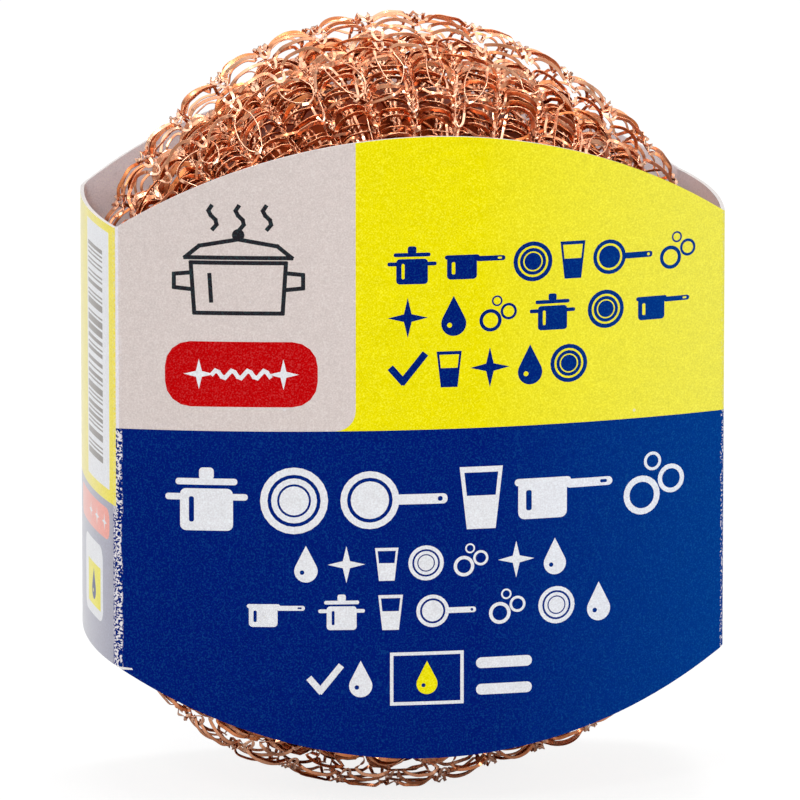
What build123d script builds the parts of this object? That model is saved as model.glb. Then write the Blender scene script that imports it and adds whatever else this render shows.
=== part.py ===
"""Knitted copper scouring pad squeezed in a printed paperboard sleeve.

The pad stands upright on the flattened bottom of its rim. Lengths are millimetres, +Z is up,
the front panel looks along -Y, and the origin is on the table under the middle of the object.
"""
import os
from math import atan2, cos, degrees, pi, radians, sin, sqrt

from build123d import *

os.makedirs("parts", exist_ok=True)

# Sleeve board, measured over the outside of the folded sleeve
sleeve_width = 72.8
sleeve_depth = 30.0
side_edge_height = 52.5
curved_edge_rise = 11.0
front_bow = 6.6
side_bow = 1.3
board_thickness = 0.45
sleeve_drop = 1.5

# Glue flap, folded in from the right side panel behind the back panel
flap_width = 11.0
flap_end_setback = 2.5
flap_corner_cut = 3.0
glue_thickness = 0.1
glue_width = 6.0
glue_end_setback = 5.0
glue_edge_setback = 2.0

# Pad, seen from the front: straight where the sleeve squeezes it, then on each side a shoulder
# arc, its centre off the middle, and above and below a crown arc of a larger radius
pad_height = 92.5
pad_shoulder_offset = 6.6
pad_crown_step = 10.0
pad_rim_band = 1.85
pad_clearance = 0.35
rest_flat_depth = 0.8

# Rolled layers of the knitted tube, and the wires that draw its two mouths closed
layer_thickness = 2.2
layer_gap = 0.1
mouth_radius = 6.0
core_dimple_depth = 1.9
draw_wire_diameter = 0.6
draw_wire_sink = 0.5
draw_wire_tail = 3.2
draw_wire_gap = 0.05

# Knitting of the outer layer: its rows of stitches cross the rim from front to back, and each
# stands up as a rounded vault between two sunken wales
wale_count = 42
wale_depth = 1.2
vault_crown_trim = 0.15

# Passes a cut beyond the body that it cuts
overrun = 5.0

# Places worked out from the sizes above
half_width = sleeve_width / 2
half_depth = sleeve_depth / 2
half_edge = side_edge_height / 2
pad_half_height = (pad_height + rest_flat_depth) / 2
pad_centre_z = pad_height - pad_half_height
sleeve_centre_z = pad_centre_z - sleeve_drop
flap_stack = board_thickness + glue_thickness
pad_half_width = half_width + side_bow - board_thickness - pad_clearance
pad_front_y = -(half_depth + front_bow - board_thickness - pad_clearance)
pad_back_y = half_depth + front_bow - board_thickness - flap_stack - pad_clearance
pad_rim_radius = (pad_back_y - pad_front_y - pad_rim_band) / 2
pad_shoulder_radius = pad_half_width - pad_shoulder_offset
pad_crown_radius = pad_shoulder_radius + pad_crown_step
pad_half_depth = (pad_back_y - pad_front_y) / 2
pad_middle_y = (pad_back_y + pad_front_y) / 2
crown_z = pad_half_height - pad_crown_radius
shoulder_z = crown_z + sqrt(pad_crown_step ** 2 - pad_shoulder_offset ** 2)
join_turn = atan2(shoulder_z - crown_z, pad_shoulder_offset)
mouth_dimple_depth = 2 * (layer_thickness + layer_gap) + core_dimple_depth

# A quarter of the pad's outline, from the middle of a side to the middle of the top
shoulder_run = pad_shoulder_radius * join_turn
quarter_run = shoulder_z + shoulder_run + pad_crown_radius * (pi / 2 - join_turn)
wale_pitch = 4 * quarter_run / wale_count
outline_plane = Plane(origin=(0, pad_middle_y, pad_centre_z), x_dir=(1, 0, 0), z_dir=(0, -1, 0))


def bowed_y(x, inset):
    """Distance from the middle plane to a front or back board face, at x along its bow.

    The faces are arcs on one centre, so boards laid on each other by their insets touch.
    """
    radius = (half_width ** 2 + front_bow ** 2) / (2 * front_bow)
    centre_y = half_depth + front_bow - radius
    return centre_y + sqrt((radius - inset) ** 2 - x ** 2)


def bowed_x(y, inset):
    """Distance from the middle plane to a side board face, at y along its bow."""
    radius = (half_depth ** 2 + side_bow ** 2) / (2 * side_bow)
    centre_x = half_width + side_bow - radius
    return centre_x + sqrt((radius - inset) ** 2 - y ** 2)


def outline_point(along, rise):
    """Point a little way out from the pad's outline, seen from the front.

    The way along the outline starts at the middle of the right side and goes up, and rise is
    how far out from the outline the point lies.
    """
    quarter, run = divmod(along, quarter_run)
    if quarter % 2:
        run = quarter_run - run
    if run < shoulder_z:
        x, z, turn = pad_half_width, run, 0
    elif run < shoulder_z + shoulder_run:
        turn = (run - shoulder_z) / pad_shoulder_radius
        x = pad_shoulder_offset + pad_shoulder_radius * cos(turn)
        z = shoulder_z + pad_shoulder_radius * sin(turn)
    else:
        turn = join_turn + (run - shoulder_z - shoulder_run) / pad_crown_radius
        x = pad_crown_radius * cos(turn)
        z = crown_z + pad_crown_radius * sin(turn)
    x_side = -1 if quarter in (1, 2) else 1
    z_side = -1 if quarter in (2, 3) else 1
    return x_side * (x + rise * cos(turn)), z_side * (z + rise * sin(turn))


def pad_envelope(inset):
    """Closed solid of the pad's outer shape, drawn in by an inset on every side.

    The front outline is a side line, a shoulder arc and a crown arc, each tangent to the next,
    and the rim is rounded off from the front and the back.
    """
    side_x = pad_half_width - inset
    crown_radius = pad_crown_radius - inset
    shoulder_radius = pad_shoulder_radius - inset
    shoulder_x = pad_shoulder_offset
    join_angle = degrees(join_turn)
    front_y = pad_front_y + inset
    back_y = pad_back_y - inset
    with BuildPart() as envelope:
        with BuildSketch(outline_plane):
            with BuildLine():
                Line((side_x, 0), (side_x, shoulder_z))
                CenterArc((shoulder_x, shoulder_z), shoulder_radius, 0, join_angle)
                CenterArc((0, crown_z), crown_radius, join_angle, 180 - 2 * join_angle)
                CenterArc((-shoulder_x, shoulder_z), shoulder_radius, 180 - join_angle, join_angle)
                Line((-side_x, shoulder_z), (-side_x, 0))
                mirror(about=Plane.XZ)
            make_face()
        extrude(amount=(back_y - front_y) / 2, both=True)
        rims = envelope.faces().sort_by(Axis.Y)[0].edges() + envelope.faces().sort_by(Axis.Y)[-1].edges()
        fillet(rims, radius=pad_rim_radius - inset)
        room = board_thickness + pad_clearance + inset
        corner_x = half_width - room
        front_corner_y = -(half_depth - room)
        back_corner_y = half_depth - room - flap_stack
        with BuildSketch(Plane.XY.offset(-overrun)):
            with BuildLine():
                ThreePointArc((-corner_x, front_corner_y), (0, front_y), (corner_x, front_corner_y))
                ThreePointArc((corner_x, front_corner_y), (side_x, pad_middle_y), (corner_x, back_corner_y))
                ThreePointArc((corner_x, back_corner_y), (0, back_y), (-corner_x, back_corner_y))
                ThreePointArc((-corner_x, back_corner_y), (-side_x, pad_middle_y), (-corner_x, front_corner_y))
            make_face()
        extrude(amount=pad_height + 2 * overrun, mode=Mode.INTERSECT)
        split(bisect_by=Plane.XY.offset(inset), keep=Keep.TOP)
    return envelope.part


def mouth_plane(side):
    """Plane at the middle of a pad face, its normal leaving the pad: side -1 front, 1 back."""
    face_y = pad_front_y if side < 0 else pad_back_y
    return Plane(origin=(0, face_y, pad_centre_z), x_dir=(1, 0, 0), z_dir=(0, side, 0))


# Outer turn of the knitted tube, open at its drawn mouths
outer_shape = pad_envelope(0)
outer_hollow = pad_envelope(layer_thickness)
with BuildPart() as outer_knit_layer:
    add(outer_shape)
    with BuildSketch(outline_plane):
        with BuildLine():
            for index in range(wale_count):
                ThreePointArc(
                    outline_point(index * wale_pitch, -wale_depth),
                    outline_point((index + 1 / 2) * wale_pitch, vault_crown_trim),
                    outline_point((index + 1) * wale_pitch % (4 * quarter_run), -wale_depth),
                )
        make_face()
    extrude(amount=pad_half_depth + overrun, both=True, mode=Mode.INTERSECT)
    add(outer_hollow, mode=Mode.SUBTRACT)
    for side in (-1, 1):
        with BuildSketch(mouth_plane(side).offset(overrun)):
            Circle(mouth_radius)
        extrude(amount=-(overrun + mouth_dimple_depth), mode=Mode.SUBTRACT)

# Second turn of the tube under the outer one
inner_start = layer_thickness + layer_gap
inner_shape = pad_envelope(inner_start)
inner_hollow = pad_envelope(inner_start + layer_thickness)
with BuildPart() as inner_knit_layer:
    add(inner_shape)
    add(inner_hollow, mode=Mode.SUBTRACT)
    for side in (-1, 1):
        with BuildSketch(mouth_plane(side).offset(overrun)):
            Circle(mouth_radius)
        extrude(amount=-(overrun + mouth_dimple_depth), mode=Mode.SUBTRACT)

# Tightly rolled end of the tube in the middle, dimpled where the mouths are drawn in
core_shape = pad_envelope(inner_start + layer_thickness + layer_gap)
with BuildPart() as core_roll:
    add(core_shape)
    for side in (-1, 1):
        with BuildSketch(mouth_plane(side).offset(overrun)):
            Circle(mouth_radius)
        extrude(amount=-(overrun + mouth_dimple_depth), mode=Mode.SUBTRACT)

# Wires that draw the two mouths closed, each a ring with its end tucked towards the pad's middle
draw_ring_radius = mouth_radius - draw_wire_diameter / 2 - draw_wire_gap
draw_wires = {}
for name, side in (("front_draw_wire", -1), ("back_draw_wire", 1)):
    ring_plane = mouth_plane(side).offset(-draw_wire_sink - draw_wire_diameter / 2)
    tail_plane = Plane(origin=ring_plane.from_local_coords((0, -draw_ring_radius, 0)), z_dir=ring_plane.z_dir)
    with BuildPart() as draw_wire:
        with BuildSketch(Plane(origin=ring_plane.origin, x_dir=(1, 0, 0), z_dir=(0, 0, 1))):
            with Locations((draw_ring_radius, 0)):
                Circle(draw_wire_diameter / 2)
        revolve(axis=Axis(ring_plane.origin, (0, 1, 0)))
        with BuildSketch(tail_plane):
            Circle(draw_wire_diameter / 2)
        extrude(amount=-draw_wire_tail)
    draw_wires[name] = draw_wire.part

# Front and back panels: bowed bands whose top and bottom edges are arcs
panel_low_z = sleeve_centre_z - half_edge - curved_edge_rise - overrun
panel_span = side_edge_height + 2 * (curved_edge_rise + overrun)
wide_panels = {}
for name, side in (("front_panel", -1), ("back_panel", 1)):
    inner_x = half_width - board_thickness
    inner_y = side * bowed_y(inner_x, board_thickness)
    with BuildPart() as wide_panel:
        with BuildSketch(Plane.XY.offset(panel_low_z)):
            with BuildLine():
                outer_arc = ThreePointArc(
                    (-half_width, side * half_depth),
                    (0, side * bowed_y(0, 0)),
                    (half_width, side * half_depth),
                )
                inner_arc = ThreePointArc(
                    (-inner_x, inner_y),
                    (0, side * bowed_y(0, board_thickness)),
                    (inner_x, inner_y),
                )
                Line(outer_arc @ 0, inner_arc @ 0)
                Line(outer_arc @ 1, inner_arc @ 1)
            make_face()
        extrude(amount=panel_span)
        with BuildSketch(Plane.XZ):
            with BuildLine():
                for end in (-1, 1):
                    ThreePointArc(
                        (-half_width, sleeve_centre_z + end * half_edge),
                        (0, sleeve_centre_z + end * (half_edge + curved_edge_rise)),
                        (half_width, sleeve_centre_z + end * half_edge),
                    )
                for edge in (-1, 1):
                    Line(
                        (edge * half_width, sleeve_centre_z - half_edge),
                        (edge * half_width, sleeve_centre_z + half_edge),
                    )
            make_face()
        extrude(amount=sleeve_depth, both=True, mode=Mode.INTERSECT)
    wide_panels[name] = wide_panel.part

# Side panels: narrow, slightly bowed bands that meet the wide panels at the mitred creases
side_panels = {}
for name, side in (("left_side_panel", -1), ("right_side_panel", 1)):
    inner_x = half_width - board_thickness
    inner_y = bowed_y(inner_x, board_thickness)
    with BuildPart() as side_panel:
        with BuildSketch(Plane.XY.offset(sleeve_centre_z - half_edge)):
            with BuildLine():
                outer_arc = ThreePointArc(
                    (side * half_width, -half_depth),
                    (side * bowed_x(0, 0), 0),
                    (side * half_width, half_depth),
                )
                inner_arc = ThreePointArc(
                    (side * inner_x, -inner_y),
                    (side * bowed_x(0, board_thickness), 0),
                    (side * inner_x, inner_y),
                )
                Line(outer_arc @ 0, inner_arc @ 0)
                Line(outer_arc @ 1, inner_arc @ 1)
            make_face()
        extrude(amount=side_edge_height)
    side_panels[name] = side_panel.part


def band_behind_back_panel(start_x, end_x, inset, thickness, low_z, high_z):
    """Band of board or glue that lies against the back panel's inner face.

    It runs from start_x to end_x along the bow, from inset to inset plus thickness in from the
    outer face, and between two heights.
    """
    middle_x = (start_x + end_x) / 2
    with BuildPart() as band:
        with BuildSketch(Plane.XY.offset(low_z)):
            with BuildLine():
                near_arc, far_arc = (
                    ThreePointArc(*[(x, bowed_y(x, depth)) for x in (start_x, middle_x, end_x)])
                    for depth in (inset, inset + thickness)
                )
                Line(near_arc @ 0, far_arc @ 0)
                Line(near_arc @ 1, far_arc @ 1)
            make_face()
        extrude(amount=high_z - low_z)
    return band.part


# Glue flap: its free corners are cut off so that it folds in without catching
flap_outer_x = half_width - board_thickness
flap_inner_x = flap_outer_x - flap_width
flap_low_z = sleeve_centre_z - half_edge + flap_end_setback
flap_high_z = sleeve_centre_z + half_edge - flap_end_setback
flap_blank = band_behind_back_panel(
    flap_inner_x, flap_outer_x, flap_stack, board_thickness, flap_low_z, flap_high_z
)
with BuildPart() as glue_flap:
    add(flap_blank)
    for end_z, turn in ((flap_low_z, 1), (flap_high_z, -1)):
        with BuildSketch(Plane.XZ.offset(-half_depth)):
            with BuildLine():
                Polyline(
                    (flap_inner_x - overrun, end_z - turn * overrun),
                    (flap_inner_x + flap_corner_cut + overrun, end_z - turn * overrun),
                    (flap_inner_x - overrun, end_z + turn * (flap_corner_cut + overrun)),
                    close=True,
                )
            make_face()
        extrude(amount=-(front_bow + overrun), mode=Mode.SUBTRACT)

# Strip of dried glue between the flap and the back panel
glue_line = band_behind_back_panel(
    flap_inner_x + glue_edge_setback,
    flap_inner_x + glue_edge_setback + glue_width,
    board_thickness,
    glue_thickness,
    flap_low_z + glue_end_setback,
    flap_high_z - glue_end_setback,
)

# Names and files
pieces = {
    "outer_knit_layer": outer_knit_layer.part,
    "inner_knit_layer": inner_knit_layer.part,
    "core_roll": core_roll.part,
    **draw_wires,
    **wide_panels,
    **side_panels,
    "glue_flap": glue_flap.part,
    "glue_line": glue_line,
}
for name, piece in pieces.items():
    piece.label = name
    export_step(piece, f"parts/{name}.step")
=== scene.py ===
"""Looks of a knitted copper scouring pad squeezed in a printed paperboard sleeve.

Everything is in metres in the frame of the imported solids: the pad stands on the table at the
origin, +Z is up and the front panel of the sleeve faces -Y. Board artwork is laid out in
millimetres on the flat blank and folded round the pad afterwards.
"""
from __future__ import annotations

import logging
import math
from collections.abc import Sequence
from dataclasses import dataclass, field, replace
from enum import Enum
from functools import cache

import bmesh
import bpy
import numpy as np
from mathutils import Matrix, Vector
from mathutils.geometry import delaunay_2d_cdt


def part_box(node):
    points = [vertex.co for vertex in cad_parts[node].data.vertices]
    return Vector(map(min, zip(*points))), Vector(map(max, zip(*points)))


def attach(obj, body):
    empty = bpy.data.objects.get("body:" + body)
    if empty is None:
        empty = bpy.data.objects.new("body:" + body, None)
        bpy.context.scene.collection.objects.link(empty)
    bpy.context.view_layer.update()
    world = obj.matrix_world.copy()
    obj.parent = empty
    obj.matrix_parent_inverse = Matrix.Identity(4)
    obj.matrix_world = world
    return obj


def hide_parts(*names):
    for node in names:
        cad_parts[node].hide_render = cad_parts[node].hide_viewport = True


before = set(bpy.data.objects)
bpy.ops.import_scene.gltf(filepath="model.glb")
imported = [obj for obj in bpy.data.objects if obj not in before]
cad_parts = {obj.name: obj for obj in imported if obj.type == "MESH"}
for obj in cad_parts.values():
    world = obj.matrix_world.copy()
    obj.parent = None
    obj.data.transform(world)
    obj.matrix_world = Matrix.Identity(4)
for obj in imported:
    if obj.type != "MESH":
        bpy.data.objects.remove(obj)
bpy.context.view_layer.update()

LOG = logging.getLogger("pot_scrubber")
MM = 0.001

Socket = bpy.types.NodeSocket
SocketValue = object
Outline = list[tuple[float, float]]


def linear(display: Sequence[float]) -> tuple[float, float, float, float]:
    """Turns 8-bit display values into the linear colour that a shader takes.

    Args:
        display: Red, green and blue from 0 to 255.

    Returns:
        Linear red, green and blue with an alpha of 1.
    """
    knee, slope, lift, whole, power = 0.04045, 12.92, 0.055, 1.055, 2.4
    levels = [value / 255 for value in display]
    red, green, blue = (v / slope if v <= knee else ((v + lift) / whole) ** power for v in levels)
    return red, green, blue, 1.0


class NodeSheet:
    """A node tree being filled, with short calls that add nodes and join sockets."""

    def __init__(self, tree: bpy.types.NodeTree) -> None:
        """Keeps the tree and empties it."""
        self.tree = tree
        tree.nodes.clear()

    def add(
        self, kind: str, feeds: dict[str | int, SocketValue] | None = None, **settings: object
    ) -> bpy.types.Node:
        """Adds a node, sets its properties and feeds its inputs.

        Args:
            kind: The node's type name.
            feeds: Input name or index, and the socket or plain value that feeds it.
            settings: Properties of the node itself.

        Returns:
            The new node.
        """
        node = self.tree.nodes.new(kind)
        for name, value in settings.items():
            setattr(node, name, value)
        for key, value in (feeds or {}).items():
            if isinstance(value, Socket):
                self.tree.links.new(value, node.inputs[key])
            else:
                node.inputs[key].default_value = value
        return node

    def math(self, operation: str, *values: SocketValue, clamp: bool = False) -> Socket:
        """Adds a Math node fed by the values and returns its result."""
        feeds = dict(enumerate(values))
        return self.add("ShaderNodeMath", feeds, operation=operation, use_clamp=clamp).outputs[0]

    def times(self, first: SocketValue, second: SocketValue) -> Socket:
        """Multiplies two values."""
        return self.math("MULTIPLY", first, second)

    def between(
        self, value: SocketValue, low: float, high: float, start: float, end: float
    ) -> Socket:
        """Maps a value from one range to another, clamped, and returns the result."""
        feeds = {"Value": value, "From Min": low, "From Max": high, "To Min": start, "To Max": end}
        return self.add("ShaderNodeMapRange", feeds, clamp=True).outputs["Result"]

    def blend(
        self, share: SocketValue, first: SocketValue, second: SocketValue, kind: str = "MIX"
    ) -> Socket:
        """Mixes two colours by a share and returns the colour."""
        feeds = {0: share, 6: first, 7: second}
        return self.add("ShaderNodeMix", feeds, data_type="RGBA", blend_type=kind).outputs[2]

    def place(self) -> Socket:
        """Returns the place on the piece, from its Object coordinates."""
        return self.add("ShaderNodeTexCoord").outputs["Object"]

    def attribute(self, name: str, output: str = "Fac") -> Socket:
        """Returns the value of an attribute that the mesh carries."""
        return self.add("ShaderNodeAttribute", attribute_name=name).outputs[output]

    def noise(
        self, place: Socket, scale: SocketValue, detail: float, roughness: float = 0.5
    ) -> Socket:
        """Adds a noise pattern and returns its value."""
        feeds = {"Vector": place, "Scale": scale, "Detail": detail, "Roughness": roughness}
        return self.add("ShaderNodeTexNoise", feeds).outputs["Fac"]

    def colour(self, red: Socket, green: Socket, blue: Socket) -> Socket:
        """Joins three values into a colour."""
        return self.add("ShaderNodeCombineColor", {0: red, 1: green, 2: blue}).outputs[0]

    def bump(self, strength: float, distance: float, height: Socket) -> Socket:
        """Turns a height into a normal."""
        feeds = {"Strength": strength, "Distance": distance, "Height": height}
        return self.add("ShaderNodeBump", feeds).outputs[0]

    def surface(self, feeds: dict[str | int, SocketValue]) -> None:
        """Adds the Principled shader with these inputs as the material's surface."""
        shader = self.add("ShaderNodeBsdfPrincipled", feeds)
        self.add("ShaderNodeOutputMaterial", {"Surface": shader.outputs[0]})


def new_material(name: str) -> tuple[bpy.types.Material, NodeSheet]:
    """Makes a material with no nodes yet.

    Args:
        name: The material's name.

    Returns:
        The material and the sheet of its tree.
    """
    made = bpy.data.materials.new(name)
    made.use_nodes = True
    return made, NodeSheet(made.node_tree)


def new_group(
    name: str, kind: str, takes: dict[str, float | str], gives: dict[str, str]
) -> NodeSheet:
    """Makes a node group with named inputs and outputs.

    Args:
        name: The group's name.
        kind: The type of its tree.
        takes: Input name, and its default number or else its socket's type.
        gives: Output name and its socket's type.

    Returns:
        The sheet of the group's tree, which holds no nodes yet.
    """
    tree = bpy.data.node_groups.new(name, kind)
    for label, value in takes.items():
        word = value if isinstance(value, str) else "Int" if isinstance(value, int) else "Float"
        socket = tree.interface.new_socket(
            name=label, in_out="INPUT", socket_type=f"NodeSocket{word}"
        )
        if value != word:
            socket.default_value = value
    for label, word in gives.items():
        tree.interface.new_socket(name=label, in_out="OUTPUT", socket_type=f"NodeSocket{word}")
    return NodeSheet(tree)


@cache
def fibre_group() -> bpy.types.NodeTree:
    """Builds the group that gives paperboard its fibre mottle and a fine height.

    Returns:
        The node group, with Scale and Stretch inputs and Mottle and Height outputs.
    """
    coarseness, fine_share = 0.35, 0.6
    takes = {"Scale": 900.0, "Stretch": 2.5}
    sheet = new_group("board_fibre", "ShaderNodeTree", takes, {"Mottle": "Float", "Height": "Float"})
    scale, stretch = sheet.add("NodeGroupInput").outputs[:2]
    place = sheet.place()
    fine = sheet.noise(place, scale, 3.0)
    pull = sheet.add("ShaderNodeCombineXYZ", {0: 1.0, 1: 1.0, 2: stretch}).outputs[0]
    pulled = sheet.add("ShaderNodeVectorMath", {0: place, 1: pull}, operation="MULTIPLY")
    coarse = sheet.noise(pulled.outputs[0], sheet.times(scale, coarseness), 2.0)
    mottle = sheet.math("ADD", sheet.times(fine, fine_share), sheet.times(coarse, 1 - fine_share))
    sheet.add("NodeGroupOutput", {"Mottle": mottle, "Height": fine})
    return sheet.tree


@cache
def crease_wear_group() -> bpy.types.NodeTree:
    """Builds the group that masks where ink has cracked off along one crease of the board.

    Returns:
        The node group. Its Along input is the place on the blank in metres.
    """
    chip_scale, patch_scale = 3400.0, 300.0
    takes = {"Along": 0.0, "Crease": 0.0, "Reach": 0.6 * MM, "Flaking": 0.5}
    sheet = new_group("crease_wear", "ShaderNodeTree", takes, {"Bare": "Float"})
    inputs = sheet.add("NodeGroupInput").outputs
    place = sheet.place()
    chips = sheet.noise(place, chip_scale, 1.0, 0.6)
    patches = sheet.noise(place, patch_scale, 2.0)
    away = sheet.math("ABSOLUTE", sheet.math("SUBTRACT", inputs["Along"], inputs["Crease"]))
    ragged = sheet.between(patches, 0.3, 0.7, 0.7, 1.1)
    share = sheet.math("DIVIDE", away, sheet.times(inputs["Reach"], ragged))
    band = sheet.between(share, 0.8, 1.0, 1.0, 0.0)
    # At a Flaking of 0.5 the chips above the noise's middle value are bare.
    level = sheet.math("ADD", chips, sheet.times(inputs["Flaking"], 0.25))
    over = sheet.math("SUBTRACT", level, 0.625)
    flaked = sheet.times(sheet.between(over, -0.01, 0.02, 0.0, 1.0), band)
    sheet.add("NodeGroupOutput", {"Bare": flaked})
    return sheet.tree


@dataclass(frozen=True)
class CopperFinish:
    """Rolled copper wire, brighter or browner from stitch to stitch."""

    name: str
    bright: tuple[float, float, float]
    brown: tuple[float, float, float]
    roughness: tuple[float, float]
    cloud_scale: float = 420.0
    drawn_scale: float = 5200.0
    tone_share: float = 0.65
    cloud_share: float = 0.5

    def material(self) -> bpy.types.Material:
        """Builds the material, which reads the wire's own tone attribute.

        Returns:
            The material.
        """
        made, sheet = new_material(self.name)
        place = sheet.place()
        cloud = sheet.noise(place, self.cloud_scale, 3.0)
        drawn = sheet.noise(place, self.drawn_scale, 2.0)
        toned = sheet.times(sheet.attribute("tone"), self.tone_share)
        share = sheet.math("ADD", toned, sheet.times(cloud, self.cloud_share), clamp=True)
        sheet.surface({
            "Base Color": sheet.blend(share, linear(self.bright), linear(self.brown)),
            "Roughness": sheet.between(cloud, 0.3, 0.7, *self.roughness),
            "Metallic": 1.0,
            "Normal": sheet.bump(0.25, 0.03 * MM, drawn),
        })
        return made


@dataclass(frozen=True)
class PrintedBoardFinish:
    """Varnished ink on paperboard that reads its colour from the blank's own print, with painted
    glare and a painted sheen laid over it.
    """

    name: str
    creases: tuple[float, ...]
    worn_crease: float
    fibre_scale: float = 1100.0
    speck_scale: float = 5200.0
    speck_swing: float = 0.4
    speck_light: float = 0.034
    painted_side_glare: float = 0.6
    cool_sheen: tuple[float, float, float] = (0, 50, 84)
    cool_reach: tuple[float, float] = (6 * MM, 40 * MM)
    bare_board: tuple[float, float, float] = (226, 222, 226)
    worn: tuple[float, float] = (0.9 * MM, 0.5)
    fresh: tuple[float, float] = (0.45 * MM, 0.22)
    dot_scale: float = 240.0
    dot_size: float = 0.045

    def material(self) -> bpy.types.Material:
        """Builds the material with its fibre mottle, flaked creases and specks.

        Returns:
            The material.
        """
        made, sheet = new_material(self.name)
        ink = sheet.attribute("ink", "Color")
        varnish = sheet.attribute("varnish")
        blank = sheet.add("ShaderNodeUVMap", uv_map="blank").outputs[0]
        along = sheet.add("ShaderNodeSeparateXYZ", {0: blank}).outputs[0]
        feeds = {"Scale": self.fibre_scale}
        fibre = sheet.add("ShaderNodeGroup", feeds, node_tree=fibre_group()).outputs
        speckled = self.speckled(sheet, ink, varnish, fibre["Mottle"])
        body = self.painted_glare(sheet, speckled, varnish, along)
        lost = self.lost(sheet, ink, varnish, along)
        matt, glossy = 0.75, 0.3
        dull = sheet.between(varnish, 0.0, 1.0, matt, glossy)
        sheet.surface({
            "Base Color": sheet.blend(lost, body, linear(self.bare_board)),
            "Roughness": sheet.math("ADD", dull, sheet.times(lost, 0.3)),
            "Normal": sheet.bump(0.12, 0.03 * MM, fibre["Height"]),
            "Specular IOR Level": 0.01,
        })
        return made

    def speckled(self, sheet: NodeSheet, ink: Socket, varnish: Socket, mottle: Socket) -> Socket:
        """Mottles the ink with the fibre under it and lays fine light specks over it.

        Args:
            sheet: The material's nodes.
            ink: The printed colour.
            varnish: One on the printed face, none inside.
            mottle: The fibre's pattern.

        Returns:
            The colour.
        """
        speck = sheet.noise(sheet.place(), self.speck_scale, 1.0)
        swing = sheet.times(sheet.math("SUBTRACT", speck, 0.5), self.speck_swing)
        grain = sheet.math("ADD", sheet.between(mottle, 0.3, 0.7, 0.96, 1.04), swing)
        toned = sheet.blend(1.0, ink, sheet.colour(grain, grain, grain), "MULTIPLY")
        pale = sheet.between(speck, 0.48, 0.75, 0.0, self.speck_light)
        glint = sheet.colour(sheet.times(pale, 0.1), pale, pale)
        return sheet.blend(varnish, toned, glint, "ADD")

    def painted_glare(self, sheet: NodeSheet, colour: Socket, varnish: Socket, along: Socket) -> Socket:
        """Paints glare on the left side panel's print, paler towards its rear, and adds a bluish
        painted sheen towards the right.

        Args:
            sheet: The material's nodes.
            colour: The printed colour.
            varnish: One on the printed face, none inside.
            along: The place on the blank.

        Returns:
            The colour.
        """
        # Painted glare: the side panel's print is mixed towards white, more towards its rear.
        rear, front = self.creases[:2]
        on_side = sheet.times(sheet.math("GREATER_THAN", along, rear), varnish)
        side_glare_share = sheet.times(sheet.between(along, rear, front, self.painted_side_glare, 0.0), on_side)
        glared = sheet.blend(side_glare_share, colour, (1, 1, 1, 1))
        # Painted sheen: a bluish tint is added to the varnished print towards the right of the
        # front.
        sheen_share = sheet.times(sheet.between(along, *self.cool_reach, 0.0, 1.0), varnish)
        return sheet.blend(sheen_share, glared, linear(self.cool_sheen), "ADD")

    def lost(self, sheet: NodeSheet, ink: Socket, varnish: Socket, along: Socket) -> Socket:
        """Masks the missing ink: flaked along the creases, most where it is dark, and in dots.

        Args:
            sheet: The material's nodes.
            ink: The printed colour.
            varnish: One on the printed face, none inside.
            along: The place on the blank.

        Returns:
            The share of ink that is missing.
        """
        value = sheet.add("ShaderNodeSeparateColor", {0: ink}, mode="HSV").outputs[2]
        dark = sheet.between(value, 0.2, 0.7, 1.0, 0.25)
        bare: SocketValue = 0.0
        for crease in self.creases:
            reach, flaking = self.worn if crease == self.worn_crease else self.fresh
            feeds = {"Along": along, "Crease": crease, "Reach": reach, "Flaking": flaking}
            wear = sheet.add("ShaderNodeGroup", feeds, node_tree=crease_wear_group())
            bare = sheet.math("MAXIMUM", bare, wear.outputs["Bare"])
        feeds = {"Vector": sheet.place(), "Scale": self.dot_scale}
        dots = sheet.add("ShaderNodeTexVoronoi", feeds, feature="F1").outputs
        pick = sheet.add("ShaderNodeSeparateColor", {0: dots["Color"]}).outputs[0]
        near = sheet.math("LESS_THAN", dots["Distance"], self.dot_size)
        dot = sheet.times(near, sheet.math("GREATER_THAN", pick, 0.9))
        marks = sheet.math("MAXIMUM", sheet.times(bare, dark), sheet.times(dot, 0.5))
        return sheet.times(marks, varnish)


@dataclass(frozen=True)
class PlainBoardFinish:
    """Unprinted grey-beige inside of the board, or the dried glue on it."""

    name: str
    colour: tuple[float, float, float]
    roughness: float
    light: float = 1.06
    deep: float = 0.9

    def material(self) -> bpy.types.Material:
        """Builds the material with the fibre mottle.

        Returns:
            The material.
        """
        made, sheet = new_material(self.name)
        fibre = sheet.add("ShaderNodeGroup", node_tree=fibre_group()).outputs
        light = tuple(min(1.0, v * self.light) for v in linear(self.colour)[:3]) + (1.0,)
        deep = tuple(v * self.deep for v in linear(self.colour)[:3]) + (1.0,)
        sheet.surface({
            "Base Color": sheet.blend(fibre["Mottle"], deep, light),
            "Roughness": self.roughness,
            "Normal": sheet.bump(0.2, 0.04 * MM, fibre["Height"]),
        })
        return made


def placed(name: str, data: bpy.types.ID) -> bpy.types.Object:
    """Makes an object and puts it in the scene.

    Args:
        name: The object's name.
        data: Its mesh, lamp or camera.

    Returns:
        The object.
    """
    piece = bpy.data.objects.new(name, data)
    bpy.context.scene.collection.objects.link(piece)
    return piece


def write_tone(mesh: bpy.types.Mesh, tones: np.ndarray) -> None:
    """Gives each point the tone that the copper finishes read."""
    mesh.attributes.new("tone", "FLOAT", "POINT").data.foreach_set("value", tones)


@dataclass
class StitchLine:
    """Centre line of a knitted wire, with the way its flat side faces and its tone."""

    points: np.ndarray
    flat_sides: np.ndarray
    tones: np.ndarray


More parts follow.
